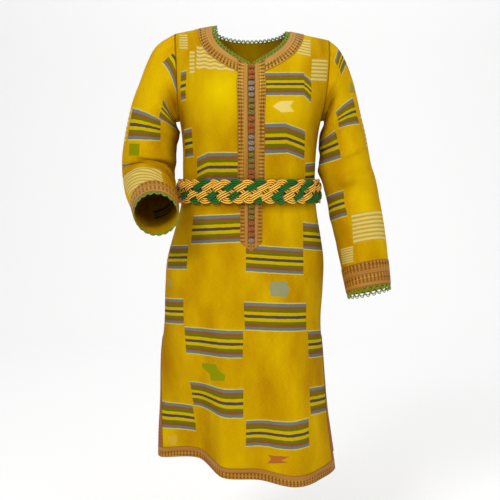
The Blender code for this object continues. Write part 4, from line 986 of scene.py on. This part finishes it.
# folds: distance from the armhole, angle, climb as it goes round, half width, spread, depth
sleeveCreases = {
    "right": ((0.150, 140, 0.040, 0.016, 55, -0.0065), (0.200, 150, 0.035, 0.015, 60, 0.0058),
              (0.255, 95, 0.030, 0.015, 60, -0.0058), (0.310, 120, 0.020, 0.015, 60, 0.0051),
              (0.105, 120, 0.045, 0.009, 50, -0.0043), (0.128, 125, 0.042, 0.009, 50, 0.0038),
              (0.178, 130, 0.038, 0.008, 45, -0.0041), (0.232, 110, 0.025, 0.008, 45, 0.0038),
              (0.285, 70, -0.020, 0.009, 45, -0.0035), (0.360, 120, 0.030, 0.010, 50, -0.0032),
              (0.400, 80, -0.020, 0.010, 50, 0.0029), (0.070, 60, -0.030, 0.010, 45, -0.0032),
              (0.014, 108, -0.044, 0.005, 35, -0.0061), (0.022, 110, -0.044, 0.006, 35, 0.0043),
              (0.031, 115, -0.044, 0.006, 35, -0.0049), (0.192, 75, 0.023, 0.006, 25, -0.0052),
              (0.180, 75, 0.023, 0.007, 28, 0.0043), (0.262, 90, 0.100, 0.006, 22, -0.0052)),
    "left": ((0.140, 130, 0.040, 0.016, 60, -0.0058), (0.195, 120, 0.030, 0.015, 60, 0.0058),
             (0.250, 100, 0.015, 0.015, 55, -0.0051),
             (0.100, 120, 0.040, 0.009, 50, -0.0043), (0.165, 110, 0.030, 0.008, 50, -0.0041),
             (0.225, 130, 0.020, 0.008, 55, -0.0051), (0.238, 95, 0.015, 0.007, 40, 0.0043),
             (0.262, 60, -0.010, 0.008, 40, -0.0043), (0.280, 120, 0.010, 0.008, 45, 0.0041),
             (0.310, 90, 0.010, 0.010, 60, -0.0032), (0.360, 110, 0.020, 0.010, 60, 0.0032),
             (0.221, 100, 0.006, 0.0045, 35, -0.0094), (0.211, 105, 0.008, 0.010, 45, 0.0065),
             (0.240, 155, 0.045, 0.006, 24, -0.0101), (0.014, 120, -0.040, 0.006, 35, -0.0049)),
}


def armholeLoop(sign):
    # outer and inner points round an armhole, and the way out across the panels' edges
    end = 0 if sign < 0 else -1
    first = len(fineRows) - 1
    parts = []
    for name in ("front", "back"):
        grid, normals, _ = grids[name]
        points = grid[first:first + armholeSteps + 1, end]
        normal = normals[first:first + armholeSteps + 1, end]
        away = unit(np.cross(normal, unit(np.gradient(points, axis=0))))
        inside = grid[first:first + armholeSteps + 1, 1 if end == 0 else -2]
        away = away * np.sign(np.sum(away * (points - inside), axis=1).sum())
        away[0] = (0.0, 0.0, 1.0)
        away[-1] = unit(np.array([away[-1, 0], 0.0, away[-1, 2]]))
        parts.append((points, points - normal * cut["wall"], away))
    front, back = parts
    joined = []
    for a, b in zip(front, back):
        joined.append(np.concatenate([a, b[-2:0:-1]]))
        for place, other in ((0, 0), (armholeSteps, -1)):
            joined[-1][place] = (a[other] + b[other]) / 2
    return joined[0], joined[1], unit(joined[2])


def creaseRing(creases, place, angle):
    # each fold is depth * exp(-(distance / width)^2 - (turn / spread)^2), slanted by its climb
    total = np.zeros(np.broadcast(place, angle).shape)
    for at, degrees, climb, width, spread, depth in creases:
        turn = (np.degrees(angle) - degrees + 180.0) % 360.0 - 180.0
        along = (place - at - climb * turn / 90.0) / width
        total = total + depth * np.exp(-along ** 2 - (turn / spread) ** 2)
    return total


def sleeveGrid(name, sign):
    # ellipses along the sleeve's path, the first ones shaped by the armhole
    table = sleeveTables[name]
    outer, inner, away = armholeLoop(sign)
    count = len(outer)
    known = np.arange(len(table), dtype=float)
    fine = np.linspace(0.0, known[-1], 600)
    path = np.stack([smoothCurve(known, table[:, k], fine) for k in range(3)], axis=1)
    length = distances(path)
    total = length[-1]
    cuffStart = total - sleeveFacts["cuffWidth"]
    places = np.concatenate([np.linspace(0.0, cuffStart, sleeveFacts["steps"] + 1),
                             np.linspace(cuffStart, total, sleeveFacts["cuffSteps"] + 1)[1:]])
    at = np.interp(places, length, fine)
    middle = np.stack([smoothCurve(known, table[:, k], at) for k in range(3)], axis=1)
    tilt = np.radians(smoothCurve(known, table[:, 3], at))
    outward = smoothCurve(known, table[:, 4], at)
    forward = smoothCurve(known, table[:, 5], at)
    along = unit(np.stack([np.interp(at, fine, np.gradient(path[:, k], length)) for k in range(3)], axis=1))
    endWay = np.stack([sign * np.sin(tilt), np.zeros(len(at)), np.cos(tilt)], axis=1)
    frontWay = sign * unit(np.cross(along, endWay))
    offset = outer - middle[0]
    armAngle = np.arctan2(offset @ frontWay[0] / forward[0], offset @ endWay[0] / outward[0])
    armAngle = np.unwrap(np.where(armAngle < -3.1, armAngle + 2 * math.pi, armAngle))
    plainAngle = math.pi - 2 * math.pi * np.arange(count) / count
    fade = ease(places / sleeveFacts["capFade"])[:, None]
    angle = (1.0 - fade) * armAngle[None] + fade * plainAngle[None]
    size = 1.0 + creaseRing(sleeveCreases[name], places[:, None], angle) / forward[:, None]
    rings = middle[:, None] + size[..., None] * (
        (outward[:, None] * np.cos(angle))[..., None] * endWay[:, None]
        + (forward[:, None] * np.sin(angle))[..., None] * frontWay[:, None])
    rings = rings + (1.0 - fade)[..., None] * (outer - rings[0])[None]
    rings[0] = outer + away * cut["seamGap"]
    normals = gridNormals(rings, closed=True)
    turned = np.sign(np.sum(normals * (rings - rings.mean(axis=1, keepdims=True))))
    normals = normals * turned
    innerRings = rings - normals * cut["wall"]
    innerRings[0] = inner + away * cut["seamGap"]
    lastAngle = angle[:, :1] - 2 * math.pi
    flatAngle = np.concatenate([angle, lastAngle], axis=1)
    flat = np.stack([(math.pi / 2 - flatAngle) * sleeveFacts["flatRadius"],
                     np.broadcast_to(-places[:, None], flatAngle.shape)], axis=-1)
    return dict(rings=rings, inner=innerRings, normals=normals, flat=flat, turned=turned)


sleeves = {}
for sleeveName, sleeveSign, chart in (("left", -1, leftSleeveChart), ("right", 1, rightSleeveChart)):
    made = sleeveGrid(sleeveName, sleeveSign)
    sleeves[sleeveName] = made
    piece = addMesh("sleeve_" + sleeveName + "_cloth",
                    *shell(made["rings"], made["inner"], made["flat"], closed=True, flip=made["turned"] < 0))
    piece.data.materials.append(clothLook("sleeve_weave_" + sleeveName, chart))
    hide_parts("sleeve_" + sleeveName)
    made["piece"] = piece
print("sleeves made")

# braid trims
trimLooks = {kind: braidLook(kind) for kind in ("band", "cuff", "hem", "slit")}


def sample(grid, rows, columns):
    # values between the grid's points, linear both ways
    r0 = np.clip(np.floor(rows).astype(int), 0, grid.shape[0] - 2)
    c0 = np.clip(np.floor(columns).astype(int), 0, grid.shape[1] - 2)
    fr, fc = (rows - r0)[..., None], (columns - c0)[..., None]
    top = grid[r0, c0] * (1 - fc) + grid[r0, c0 + 1] * fc
    low = grid[r0 + 1, c0] * (1 - fc) + grid[r0 + 1, c0 + 1] * fc
    return top * (1 - fr) + low * fr


def bandPiece(name, kind, patches, nodes, dashed=True, repeats=1, closed=False, flip=False):
    # a trim laid on patches of the cloth (points, normals, rows, columns), with its dashes pressed in
    points = np.concatenate([sample(grid, rows, cols) for grid, _, rows, cols in patches])
    ways = np.concatenate([unit(sample(wayGrid, rows, cols)) for _, wayGrid, rows, cols in patches])
    pitch, columns = trimFacts[kind][2], trimFacts[kind][4] if dashed else ()
    run = distances(points[:, points.shape[1] // 2])
    if closed:
        run = np.append(run, run[-1] + np.linalg.norm(points[0, 0] - points[-1, 0]))
        pitch = run[-1] / round(run[-1] / pitch)
    across = np.linspace(0.0, 1.0, points.shape[1])
    u, v = np.meshgrid(run, across, indexing="ij")
    share = (v * repeats) % 1.0
    dash = np.zeros(u.shape)
    for place, half, _, strength in columns:
        dash = dash + strength * np.exp(-((share - place) / half / 1.3) ** 2)
    dash = dash * np.clip(np.cos(2 * math.pi * u / pitch) + 0.3, 0.0, 1.0)
    edge = np.minimum(v, 1.0 - v)
    lift = cut["trimWall"] * (0.75 + 0.25 * ease(edge / 0.08)) - trimFacts["relief"] * dash
    solid = lift[:len(points), :, None]
    flat = np.stack([u, v], axis=-1)
    inner, outer = points + ways * cut["seamGap"], points + ways * (cut["seamGap"] + solid)
    outer, inner = np.swapaxes(outer, 0, 1), np.swapaxes(inner, 0, 1)
    piece = addMesh(name, *shell(outer, inner, np.swapaxes(flat, 0, 1), closed=closed, flip=flip))
    piece.data.materials.append(trimLooks[kind])
    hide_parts(*nodes)
    return piece


frontGrid, frontWays, _ = grids["front"]
backGrid, backWays, _ = grids["back"]
lastRow = frontGrid.shape[0] - 1
neckRow = lastRow - neckSteps
trimPieces = {"front": [], "back": [], "left": [], "right": []}

# placket bands, each from its point to the neck edge, its first column the outer edge
slitEndRow, tipRow = rowAt(cut["frontSlitEndZ"]), rowAt(cut["placketTipZ"])
for name, (outerColumn, innerColumn) in bandEdges.items():
    across = np.linspace(0.0, 1.0, 13)
    columns = outerColumn + (innerColumn - outerColumn) * across
    along = distances(frontGrid[slitEndRow:, outerColumn])
    rowPlaces = np.interp(np.arange(0.0, along[-1], trimFacts["placketStep"]), along,
                          np.arange(slitEndRow, lastRow + 1))
    rowPlaces = np.append(rowPlaces, lastRow)
    tipDown = slitEndRow - (slitEndRow - tipRow) * np.interp(across, (0.0, 1.0), cut["placketTip"][:2])
    tipShares = np.linspace(1.0, 0.0, 12)[:-1]
    tipRows = slitEndRow + (tipDown - slitEndRow)[None] * tipShares[:, None]
    rows = np.concatenate([tipRows, np.broadcast_to(rowPlaces[:, None], (len(rowPlaces), 13))])
    patch = (frontGrid, frontWays, rows, np.broadcast_to(columns, rows.shape))
    trimPieces["front"].append(bandPiece("placket_band_" + name, "band", [patch], ["placket_" + name],
                                         flip=name == "left"))
    # the point below the opening, from the band's inner edge to the centre line
    meeting = slitColumn + 0.5 + (-0.45 if name == "left" else 0.45)
    columns = innerColumn + (meeting - innerColumn) * np.linspace(0, 1, 5)
    tipDown = slitEndRow - (slitEndRow - tipRow) * np.interp(
        np.linspace(0.0, 1.0, 5), (0.0, 1.0), cut["placketTip"][1:])
    rows = slitEndRow + (tipDown - slitEndRow)[None] * np.linspace(1.0, 0.0, 12)[:, None]
    patch = (frontGrid, frontWays, rows, np.broadcast_to(columns, rows.shape))
    trimPieces["front"].append(bandPiece("placket_point_" + name, "band", [patch], ["placket_" + name],
                                         dashed=False, flip=name == "left"))

# neck band: from the left placket over the left shoulder, round the back, to the right placket
acrossRows = neckRow + (lastRow - neckRow) * np.linspace(0.0, 1.0, 14)
patches = []
pastBand = 0.12    # columns between the placket bands and the neck band's ends
for grid, wayGrid, columns in (
        (frontGrid, frontWays, np.linspace(bandEdges["left"][0] - pastBand, 0, 90)),
        (backGrid, backWays, np.linspace(0, lastColumn["back"], 190)[1:-1]),
        (frontGrid, frontWays, np.linspace(lastColumn["front"], bandEdges["right"][0] + pastBand, 90))):
    patches.append((grid, wayGrid, *np.meshgrid(acrossRows, columns)))
trimPieces["front"].append(bandPiece("neck_band", "band", patches, ["neck_trim"]))

# hems and the open side edges
for name, side in (("front", -1), ("back", 1)):
    grid, wayGrid, _ = grids[name]
    last = lastColumn[name]
    hemTop = rowAt(cut["hemZ"] + cut["trimWidth"])
    mid = distances(grid[hemTop // 2])
    columns = np.interp(np.arange(0.0, mid[-1], trimFacts["hemStep"]), mid, np.arange(last + 1))
    columns = np.append(columns, last)
    patch = (grid, wayGrid, *np.meshgrid(np.linspace(hemTop, 0, 13), columns))
    trimPieces[name].append(bandPiece("hem_band_" + name, "hem", [patch], ["hem_trim_" + name],
                                      flip=side < 0))
    for edge, outerColumn, innerColumn in (("left", 0, edgeColumns), ("right", last, last - edgeColumns)):
        along = distances(grid[hemTop:rowAt(cut["slitTopZ"]) + 1, outerColumn])
        rowPlaces = np.interp(np.arange(0.0008, along[-1], trimFacts["hemStep"]), along,
                              np.arange(hemTop, rowAt(cut["slitTopZ"]) + 1))
        columns = np.linspace(outerColumn, innerColumn, 11)
        patch = (grid, wayGrid, *np.meshgrid(rowPlaces, columns, indexing="ij"))
        trimPieces[name].append(bandPiece("slit_band_%s_%s" % (name, edge), "slit", [patch],
                                          ["slit_trim_%s_%s" % (name, edge)],
                                          flip=(side < 0) == (edge == "left")))

# cuffs: two widths of braid round the end of each sleeve
for name in ("left", "right"):
    made = sleeves[name]
    ring = np.swapaxes(made["rings"][sleeveFacts["steps"]:], 0, 1)
    ways = np.swapaxes(made["normals"][sleeveFacts["steps"]:], 0, 1)
    columns = np.arange(sleeveFacts["cuffSteps"] + 1, dtype=float)
    patch = (np.concatenate([ring, ring[:1]]), np.concatenate([ways, ways[:1]]),
             *np.meshgrid(np.arange(0, len(ring), 0.5), columns, indexing="ij"))
    trimPieces[name].append(bandPiece("cuff_band_" + name, "cuff", [patch], ["cuff_trim_" + name],
                                      repeats=2, closed=True, flip=made["turned"] > 0))
print("trims made")

# crochet edging
laceFacts = {
    "neckLoop": (0.0105, 0.0112),  # length of one loop and its height
    "cuffLoop": (0.0150, 0.0130),
    "yarn": 0.0010,                # half the yarn's thickness
    "fadeAtOpening": 0.048,        # this near the opening the loops lean less to the sides
    "dark": (2, 56, 2), "light": (150, 172, 6),
}
laceLook = yarnLook("crochet_yarn", laceFacts["dark"], laceFacts["light"], 0.75, 0.004)


def lacePiece(name, edge, normals, away, loop, nodes):
    # a chain along the edge, and per loop an arch whose height is sin(pi t)^0.7, with a second, lower and
    # leaning arch beside it
    pitch, height = loop
    yarn = laceFacts["yarn"]
    run = distances(edge)
    count = max(1, round(run[-1] / pitch))

    def read(values, s):
        # values s metres along the edge
        return np.stack([np.interp(s, run, values[:, k]) for k in range(3)], axis=-1)

    def place(s, up, out):
        # points s metres along the edge, up metres past it and out metres from the wall's middle
        way = unit(read(normals, s))
        return read(edge, s) + read(away, s) * (cut["seamGap"] + up)[..., None] + way * (
            out - cut["wall"] / 2)[..., None], way

    t = np.linspace(0.0, 1.0, 15)
    steps = (run[-1] - 4 * yarn) / count
    firsts = 2 * yarn + steps * np.arange(count)[:, None]
    sets = []
    for lean, lower, shift in ((0.0, 0.0, 0.0003), (0.32, 0.35, -0.0003)):
        up = yarn + (height - 2.2 * yarn) * (1.0 - lower) * np.sin(math.pi * t) ** 0.7
        s = firsts + steps * (t + lean * 0.18 * np.sin(2 * math.pi * t))[None]
        up = np.broadcast_to(up, s.shape)
        paths, outs = place(s, up, np.full(s.shape, shift))
        radius = yarn * (1.0 + 0.22 * np.sin(2 * math.pi * 5 * t))[None]
        sets.append(tubeMesh(paths, outs, radius))
    chainSteps = max(8, int(run[-1] / 0.0025))
    s = np.linspace(yarn, run[-1] - yarn, chainSteps)[None]
    paths, outs = place(s, np.full(s.shape, yarn), np.zeros(s.shape))
    radius = yarn * (1.05 + 0.25 * np.sin(2 * math.pi * s / 0.005))
    sets.append(tubeMesh(paths, outs, radius))
    piece = joinTubes(name, [tubes[:3] for tubes in sets])
    piece.data.materials.append(laceLook)
    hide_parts(*nodes)
    return piece


def edgeAway(points, normals, before):
    # the way out past an edge: square to it and to the cloth's normal
    away = unit(np.cross(normals, unit(np.gradient(points, axis=0))))
    return away * np.sign(np.sum(away * (points - before)))


for name, picked in (("left", slice(0, slitColumn + 1)), ("right", slice(slitColumn + 1, None))):
    away = edgeAway(frontGrid[-1, picked], frontWays[-1, picked], frontGrid[-2, picked])
    fromCentre = np.abs(frontGrid[-1, picked, 0] - cut["centre"])
    away[:, 0] *= ease(fromCentre / laceFacts["fadeAtOpening"])
    trimPieces["front"].append(lacePiece("neck_crochet_" + name, frontGrid[-1, picked], frontWays[-1, picked],
                                         unit(away), laceFacts["neckLoop"], ["neck_lace_" + name]))
away = edgeAway(backGrid[-1], backWays[-1], backGrid[-2])
trimPieces["back"].append(lacePiece("neck_crochet_back", backGrid[-1], backWays[-1], away,
                                    laceFacts["neckLoop"], ["neck_lace_back"]))
for name in ("left", "right"):
    made = sleeves[name]
    ring, ways, before = made["rings"][-1], made["normals"][-1], made["rings"][-2]
    order = np.arange(len(ring) + 1) % len(ring)
    away = edgeAway(ring[order], ways[order], before[order])
    trimPieces[name].append(lacePiece("cuff_crochet_" + name, ring[order], ways[order], away,
                                      laceFacts["cuffLoop"], ["cuff_lace_%s_inner" % name,
                                                              "cuff_lace_%s_outer" % name]))
print("edging made")

# belt
beltFacts = {
    "thick": 0.0135, "lift": 0.0006, "pitch": 0.0245,
    "bridge": 0.0075, "bridgeHalf": 0.014, "bridgeEnd": 0.046,  # extra lift over the buttons, and its reach
    "cord": 0.00235,         # half a cord's thickness
    # dark browns of the core: painted shade between the cords
    "core": ((40, 18, 2), (84, 44, 6)),
    # dark and light ends of the cords' colours; the dark end is mostly painted shade on the cords' sides
    "gold": ((58, 20, 0), (246, 186, 62)),
    "green": ((0, 6, 0), (8, 104, 14)),
    # places on the front of the green bundles and of the green turns at the edges, by x
    "greenUpper": (-0.118, -0.051, -0.001, 0.071, 0.112),
    "greenLower": (-0.147, -0.086, -0.039, 0.056, 0.101, 0.146),
    "turnUpper": (-0.098, -0.031, 0.018, 0.090, 0.132),
    "turnLower": (-0.129, -0.083, 0.013, 0.060, 0.117),
    "greenAcross": (-0.105,),
}


def bridge(points):
    # share of the belt's extra lift over the buttons, fading out to either side
    away = np.abs(points[..., 0] - cut["centre"])
    fade = (beltFacts["bridgeEnd"] - away) / (beltFacts["bridgeEnd"] - beltFacts["bridgeHalf"])
    return np.where(points[..., 1] < 0.0, ease(fade), 0.0)


beltRows = [rowAt(cut["beltZ"] - cut["beltHalf"]), rowAt(cut["beltZ"]), rowAt(cut["beltZ"] + cut["beltHalf"])]
beltRing = np.concatenate([frontGrid[beltRows], backGrid[beltRows][:, ::-1]], axis=1)
beltWays = np.concatenate([frontWays[beltRows], backWays[beltRows][:, ::-1]], axis=1)
beltRing = np.concatenate([beltRing, beltRing[:, :1]], axis=1)
beltWays = np.concatenate([beltWays, beltWays[:, :1]], axis=1)
beltRun = distances(beltRing[1])
beltLength = beltRun[-1]
crossings = round(beltLength / beltFacts["pitch"])
pitch = beltLength / crossings


def beltPlace(s, h, out):
    # s metres round the belt's line, h from -1 to 1 up the belt, out metres off the cloth
    s = s % beltLength
    reads = []
    for values in (beltRing, beltWays):
        rows = [np.stack([np.interp(s, beltRun, row[:, k]) for k in range(3)], axis=-1) for row in values]
        share = np.abs(h)[..., None]
        reads.append(rows[1] * (1 - share) + np.where((h >= 0)[..., None], rows[2], rows[0]) * share)
    base, way = reads[0], unit(reads[1])
    lift = beltFacts["lift"] + beltFacts["bridge"] * bridge(base) + out
    return base + way * lift[..., None], way


def strandPaths(points, sign, count, spacing, number):
    # number cords side by side along a path of (s in pitches, h, out share), for every crossing
    points = np.array(points)
    t = np.linspace(0.0, 1.0, count)
    known = np.linspace(0.0, 1.0, len(points))
    s = smoothCurve(known, points[:, 0], t) * pitch
    h = smoothCurve(known, points[:, 1], t) * cut["beltHalf"]
    out = smoothCurve(known, points[:, 2], t)
    slopeS, slopeH = np.gradient(s), np.gradient(h)
    steep = np.hypot(slopeS, slopeH)
    offsets = (np.arange(number) - (number - 1) / 2) * spacing
    sAll = s[None] - offsets[:, None] * (slopeH / steep)[None]
    hAll = h[None] + offsets[:, None] * (slopeS / steep)[None]
    crown = 1.0 - 0.10 * (offsets / max(spacing * number / 2, 1e-6))[:, None] ** 2
    sAll, hAll = sign * sAll, sign * hAll / cut["beltHalf"]
    outAll = out[None] * crown * beltFacts["thick"]
    starts = (np.arange(crossings) + (0.0 if sign > 0 else 0.42)) * pitch
    s = starts[:, None, None] + sAll[None]
    h = np.clip(np.broadcast_to(hAll, s.shape), -1.08, 1.08)
    paths, outs = beltPlace(s, h, np.broadcast_to(outAll, s.shape))
    level = np.full((crossings, 1), sign * 0.4)
    middle = beltPlace(starts[:, None], level, np.zeros((crossings, 1)))[0][:, 0]
    return paths.reshape(-1, count, 3), outs.reshape(-1, count, 3), middle


# paths of a bundle, of the cords that turn at the edge, and of the small cords between the bundles:
# along in pitches, up from -1 to 1, out as a share of the belt's thickness
bundlePath = ((-0.60, 0.04, 0.05), (-0.43, 0.12, 0.66), (-0.16, 0.29, 0.98), (0.16, 0.49, 0.98),
              (0.43, 0.66, 0.66), (0.58, 0.74, 0.05))
turnPath = ((0.34, 0.74, 0.20), (0.50, 0.86, 0.60), (0.74, 0.88, 0.74), (0.98, 0.76, 0.66),
            (1.20, 0.58, 0.40), (1.38, 0.42, 0.20))
crossPath = ((-0.22, 0.34, 0.30), (0.06, 0.12, 0.66), (0.36, -0.12, 0.66), (0.64, -0.34, 0.30))
beltParts = []
for path, greens, count, number in ((bundlePath, ("greenUpper", "greenLower"), 10, 3),
                                    (turnPath, ("turnUpper", "turnLower"), 9, 3),
                                    (crossPath, ("greenAcross",), 7, 2)):
    for sign, greenName in zip((1, -1), greens):
        paths, outs, middle = strandPaths(path, sign, count, 2 * beltFacts["cord"] * 1.04, number)
        shift = 0.0 if path is bundlePath else 0.8 * pitch * sign
        greenX = np.array(beltFacts[greenName])
        onFront = middle[:, 1] < 0
        nearest = np.abs(middle[:, 0, None] + shift - greenX[None]).min(axis=1)
        green = np.where(onFront, nearest < pitch / 2, np.arange(crossings) % 4 == (1 if sign > 0 else 3))
        tube = tubeMesh(paths, outs, beltFacts["cord"])
        beltParts.append((tube, np.repeat(green, number)))
for tint in ("gold", "green"):
    picked = [green[owner] == (tint == "green") for (_, _, _, owner), green in beltParts]
    piece = joinTubes("belt_cords_" + tint, [(points, faces[own], corners[own]) for (
        (points, faces, corners, _), _), own in zip(beltParts, picked)])
    # the cords' sides get painted shade and their outer side painted light
    piece.data.materials.append(yarnLook("cord_" + tint, *beltFacts[tint], 0.42, 0.005, specular=0.3,
                                         outward=0.93))
    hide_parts("belt")

# a dark core inside the plait, so that no light passes between the cords; its dark browns are painted shade
# seen in the gaps between the cords
coreS = np.linspace(0.0, beltLength, 181)[:-1]
coreOutline = ((0.86, 0.10), (0.90, 0.30), (0.55, 0.62), (0.0, 0.52), (-0.55, 0.62),
               (-0.90, 0.30), (-0.86, 0.10), (-0.60, 0.02), (0.60, 0.02))
core = np.array([beltPlace(coreS, np.full(coreS.shape, h), np.full(coreS.shape, out * beltFacts["thick"]))[0]
                 for h, out in coreOutline])
core = np.concatenate([core, core[:1]])
columns = core.shape[1]
r, c = np.meshgrid(np.arange(len(coreOutline)), np.arange(columns), indexing="ij")
r, c = r.ravel(), c.ravel()
a, b = r * columns + c, r * columns + (c + 1) % columns
top = ((r + 1) % len(coreOutline)) * columns
quads = np.stack([a, top + c, top + (c + 1) % columns, b], axis=1)
piece = addMesh("belt_core", core[:-1].reshape(-1, 3), quads, np.zeros((len(quads), 4, 2)))
coreLook = Look("cord_core", 0.8)
coreNoise = coreLook.noise(coreLook.tree.nodes.new("ShaderNodeTexCoord").outputs["Object"], 300.0)
coreLook.plug(coreLook.shader.inputs["Base Color"], coreLook.ramp(
    coreNoise, [(at, srgb(*tint)) for at, tint in zip((0.3, 0.7), beltFacts["core"])]))
piece.data.materials.append(coreLook.material)
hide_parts("belt")
print("belt made")

# knotted buttons
buttonFacts = {
    "count": 31, "top": -0.0965, "pitch": 0.01285, "size": (0.0136, 0.0078, 0.0112), "yarn": 0.0014,
    "tints": {"orange": ((84, 28, 2), (202, 104, 26)), "grey": ((58, 40, 34), (178, 160, 146)),
              "olive": ((56, 42, 4), (154, 142, 34))},
}
line = (frontGrid[:, slitColumn] + frontGrid[:, slitColumn + 1]) / 2
lineWays = unit(frontWays[:, slitColumn] + frontWays[:, slitColumn + 1])
turn = np.linspace(0.0, 2 * math.pi, 49)
# a knot whose cord goes three times round while it swings four times up and down
lat, lon = 0.95 * np.sin(4 * turn), 3 * turn
bulge = 1.0 + 0.10 * np.cos(8 * turn)
knot = np.stack([np.cos(lat) * np.cos(lon) * bulge, np.cos(lat) * np.sin(lon) * bulge, np.sin(lat)], axis=-1)
half = np.array(buttonFacts["size"]) / 2 - buttonFacts["yarn"]
for index, tint in enumerate(("orange", "grey", "olive")):
    numbers = [i for i in range(buttonFacts["count"]) if (i // 3) % 3 == index]
    paths, outs = [], []
    for i in numbers:
        z = buttonFacts["top"] - buttonFacts["pitch"] * i
        point = np.array([np.interp(z, line[:, 2], line[:, k]) for k in range(3)])
        way = unit(np.array([np.interp(z, line[:, 2], lineWays[:, k]) for k in range(3)]))
        upWay = unit(np.cross(np.array([1.0, 0.0, 0.0]), -way))
        acrossWay = np.cross(upWay, way)
        body = knot * half
        middle = point + way * (buttonFacts["size"][1] / 2 + 2 * cut["seamGap"])
        spun = (body[:, :1] * acrossWay + body[:, 2:3] * upWay - body[:, 1:2] * way)
        paths.append(middle + spun * (1.0 + 0.03 * math.sin(5.0 * i)))
        outs.append(unit(spun))
    vertices, quads, flats, _ = tubeMesh(np.array(paths), np.array(outs), buttonFacts["yarn"] * 1.15)
    piece = addMesh("knots_" + tint, vertices, quads, flats)
    piece.data.materials.append(yarnLook("knot_" + tint, *buttonFacts["tints"][tint], 0.6, 0.003))
    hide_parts(*["button_%02d" % (i + 1) for i in numbers])
print("buttons made")

# camera, light and floor
stageFacts = {
    "camera": (-0.00472, -2.2, -0.34692), "lookDown": 4.29, "lens": 67.1,
    "floorZ": -1.30, "floorTint": 0.9, "around": 0.58,
    # name, place, aim, size in metres, power in watts
    "lamps": (("key", (-1.5, -2.8, 1.4), (0.0, 0.0, -0.4), 1.0, 60.0),
              ("fill", (1.8, -2.6, 0.1), (0.1, 0.0, -0.5), 1.8, 20.0),
              ("back", (0.6, 1.2, 5.0), (0.0, 4.0, 0.0), 3.0, 150.0)),
}
scene = bpy.context.scene
camera = bpy.data.objects.new("camera", bpy.data.cameras.new("camera"))
scene.collection.objects.link(camera)
camera.location = stageFacts["camera"]
camera.rotation_euler = (math.radians(90.0 - stageFacts["lookDown"]), 0.0, 0.0)
camera.data.sensor_width = 36.0
camera.data.lens = stageFacts["lens"]
scene.camera = camera

# a floor that curves up into a wall well behind
floorMesh = bpy.data.meshes.new("floor")
bend = np.linspace(0, math.pi / 2, 17)
curve = [(-7.0, 0.0)] + [(3.0 + 2.0 * math.sin(a), 2.0 - 2.0 * math.cos(a)) for a in bend] + [(5.0, 7.0)]
corners = [(x, y, z + stageFacts["floorZ"]) for y, z in curve for x in (-8.0, 8.0)]
floorMesh.from_pydata(corners, [], [(2 * i, 2 * i + 1, 2 * i + 3, 2 * i + 2) for i in range(len(curve) - 1)])
floorMesh.shade_smooth()
floor = bpy.data.objects.new("floor", floorMesh)
scene.collection.objects.link(floor)
floorLook = Look("floor", 0.9)
floorLook.shader.inputs["Base Color"].default_value = (*[stageFacts["floorTint"]] * 3, 1.0)
floorMesh.materials.append(floorLook.material)

world = bpy.data.worlds.new("world")
scene.world = world
world.use_nodes = True
world.node_tree.nodes["Background"].inputs[0].default_value = (1.0, 1.0, 1.0, 1.0)
world.node_tree.nodes["Background"].inputs[1].default_value = stageFacts["around"]
for name, place, aim, size, power in stageFacts["lamps"]:
    lamp = bpy.data.objects.new(name, bpy.data.lights.new(name, "AREA"))
    lamp.data.size = size
    lamp.data.energy = power
    way = np.array(aim) - np.array(place)
    lamp.location = place
    lamp.rotation_euler = (math.atan2(np.hypot(way[0], way[1]), -way[2]), 0.0,
                           math.atan2(-way[0], way[1]))
    scene.collection.objects.link(lamp)
scene.view_settings.view_transform = "Standard"

print("scene ready")
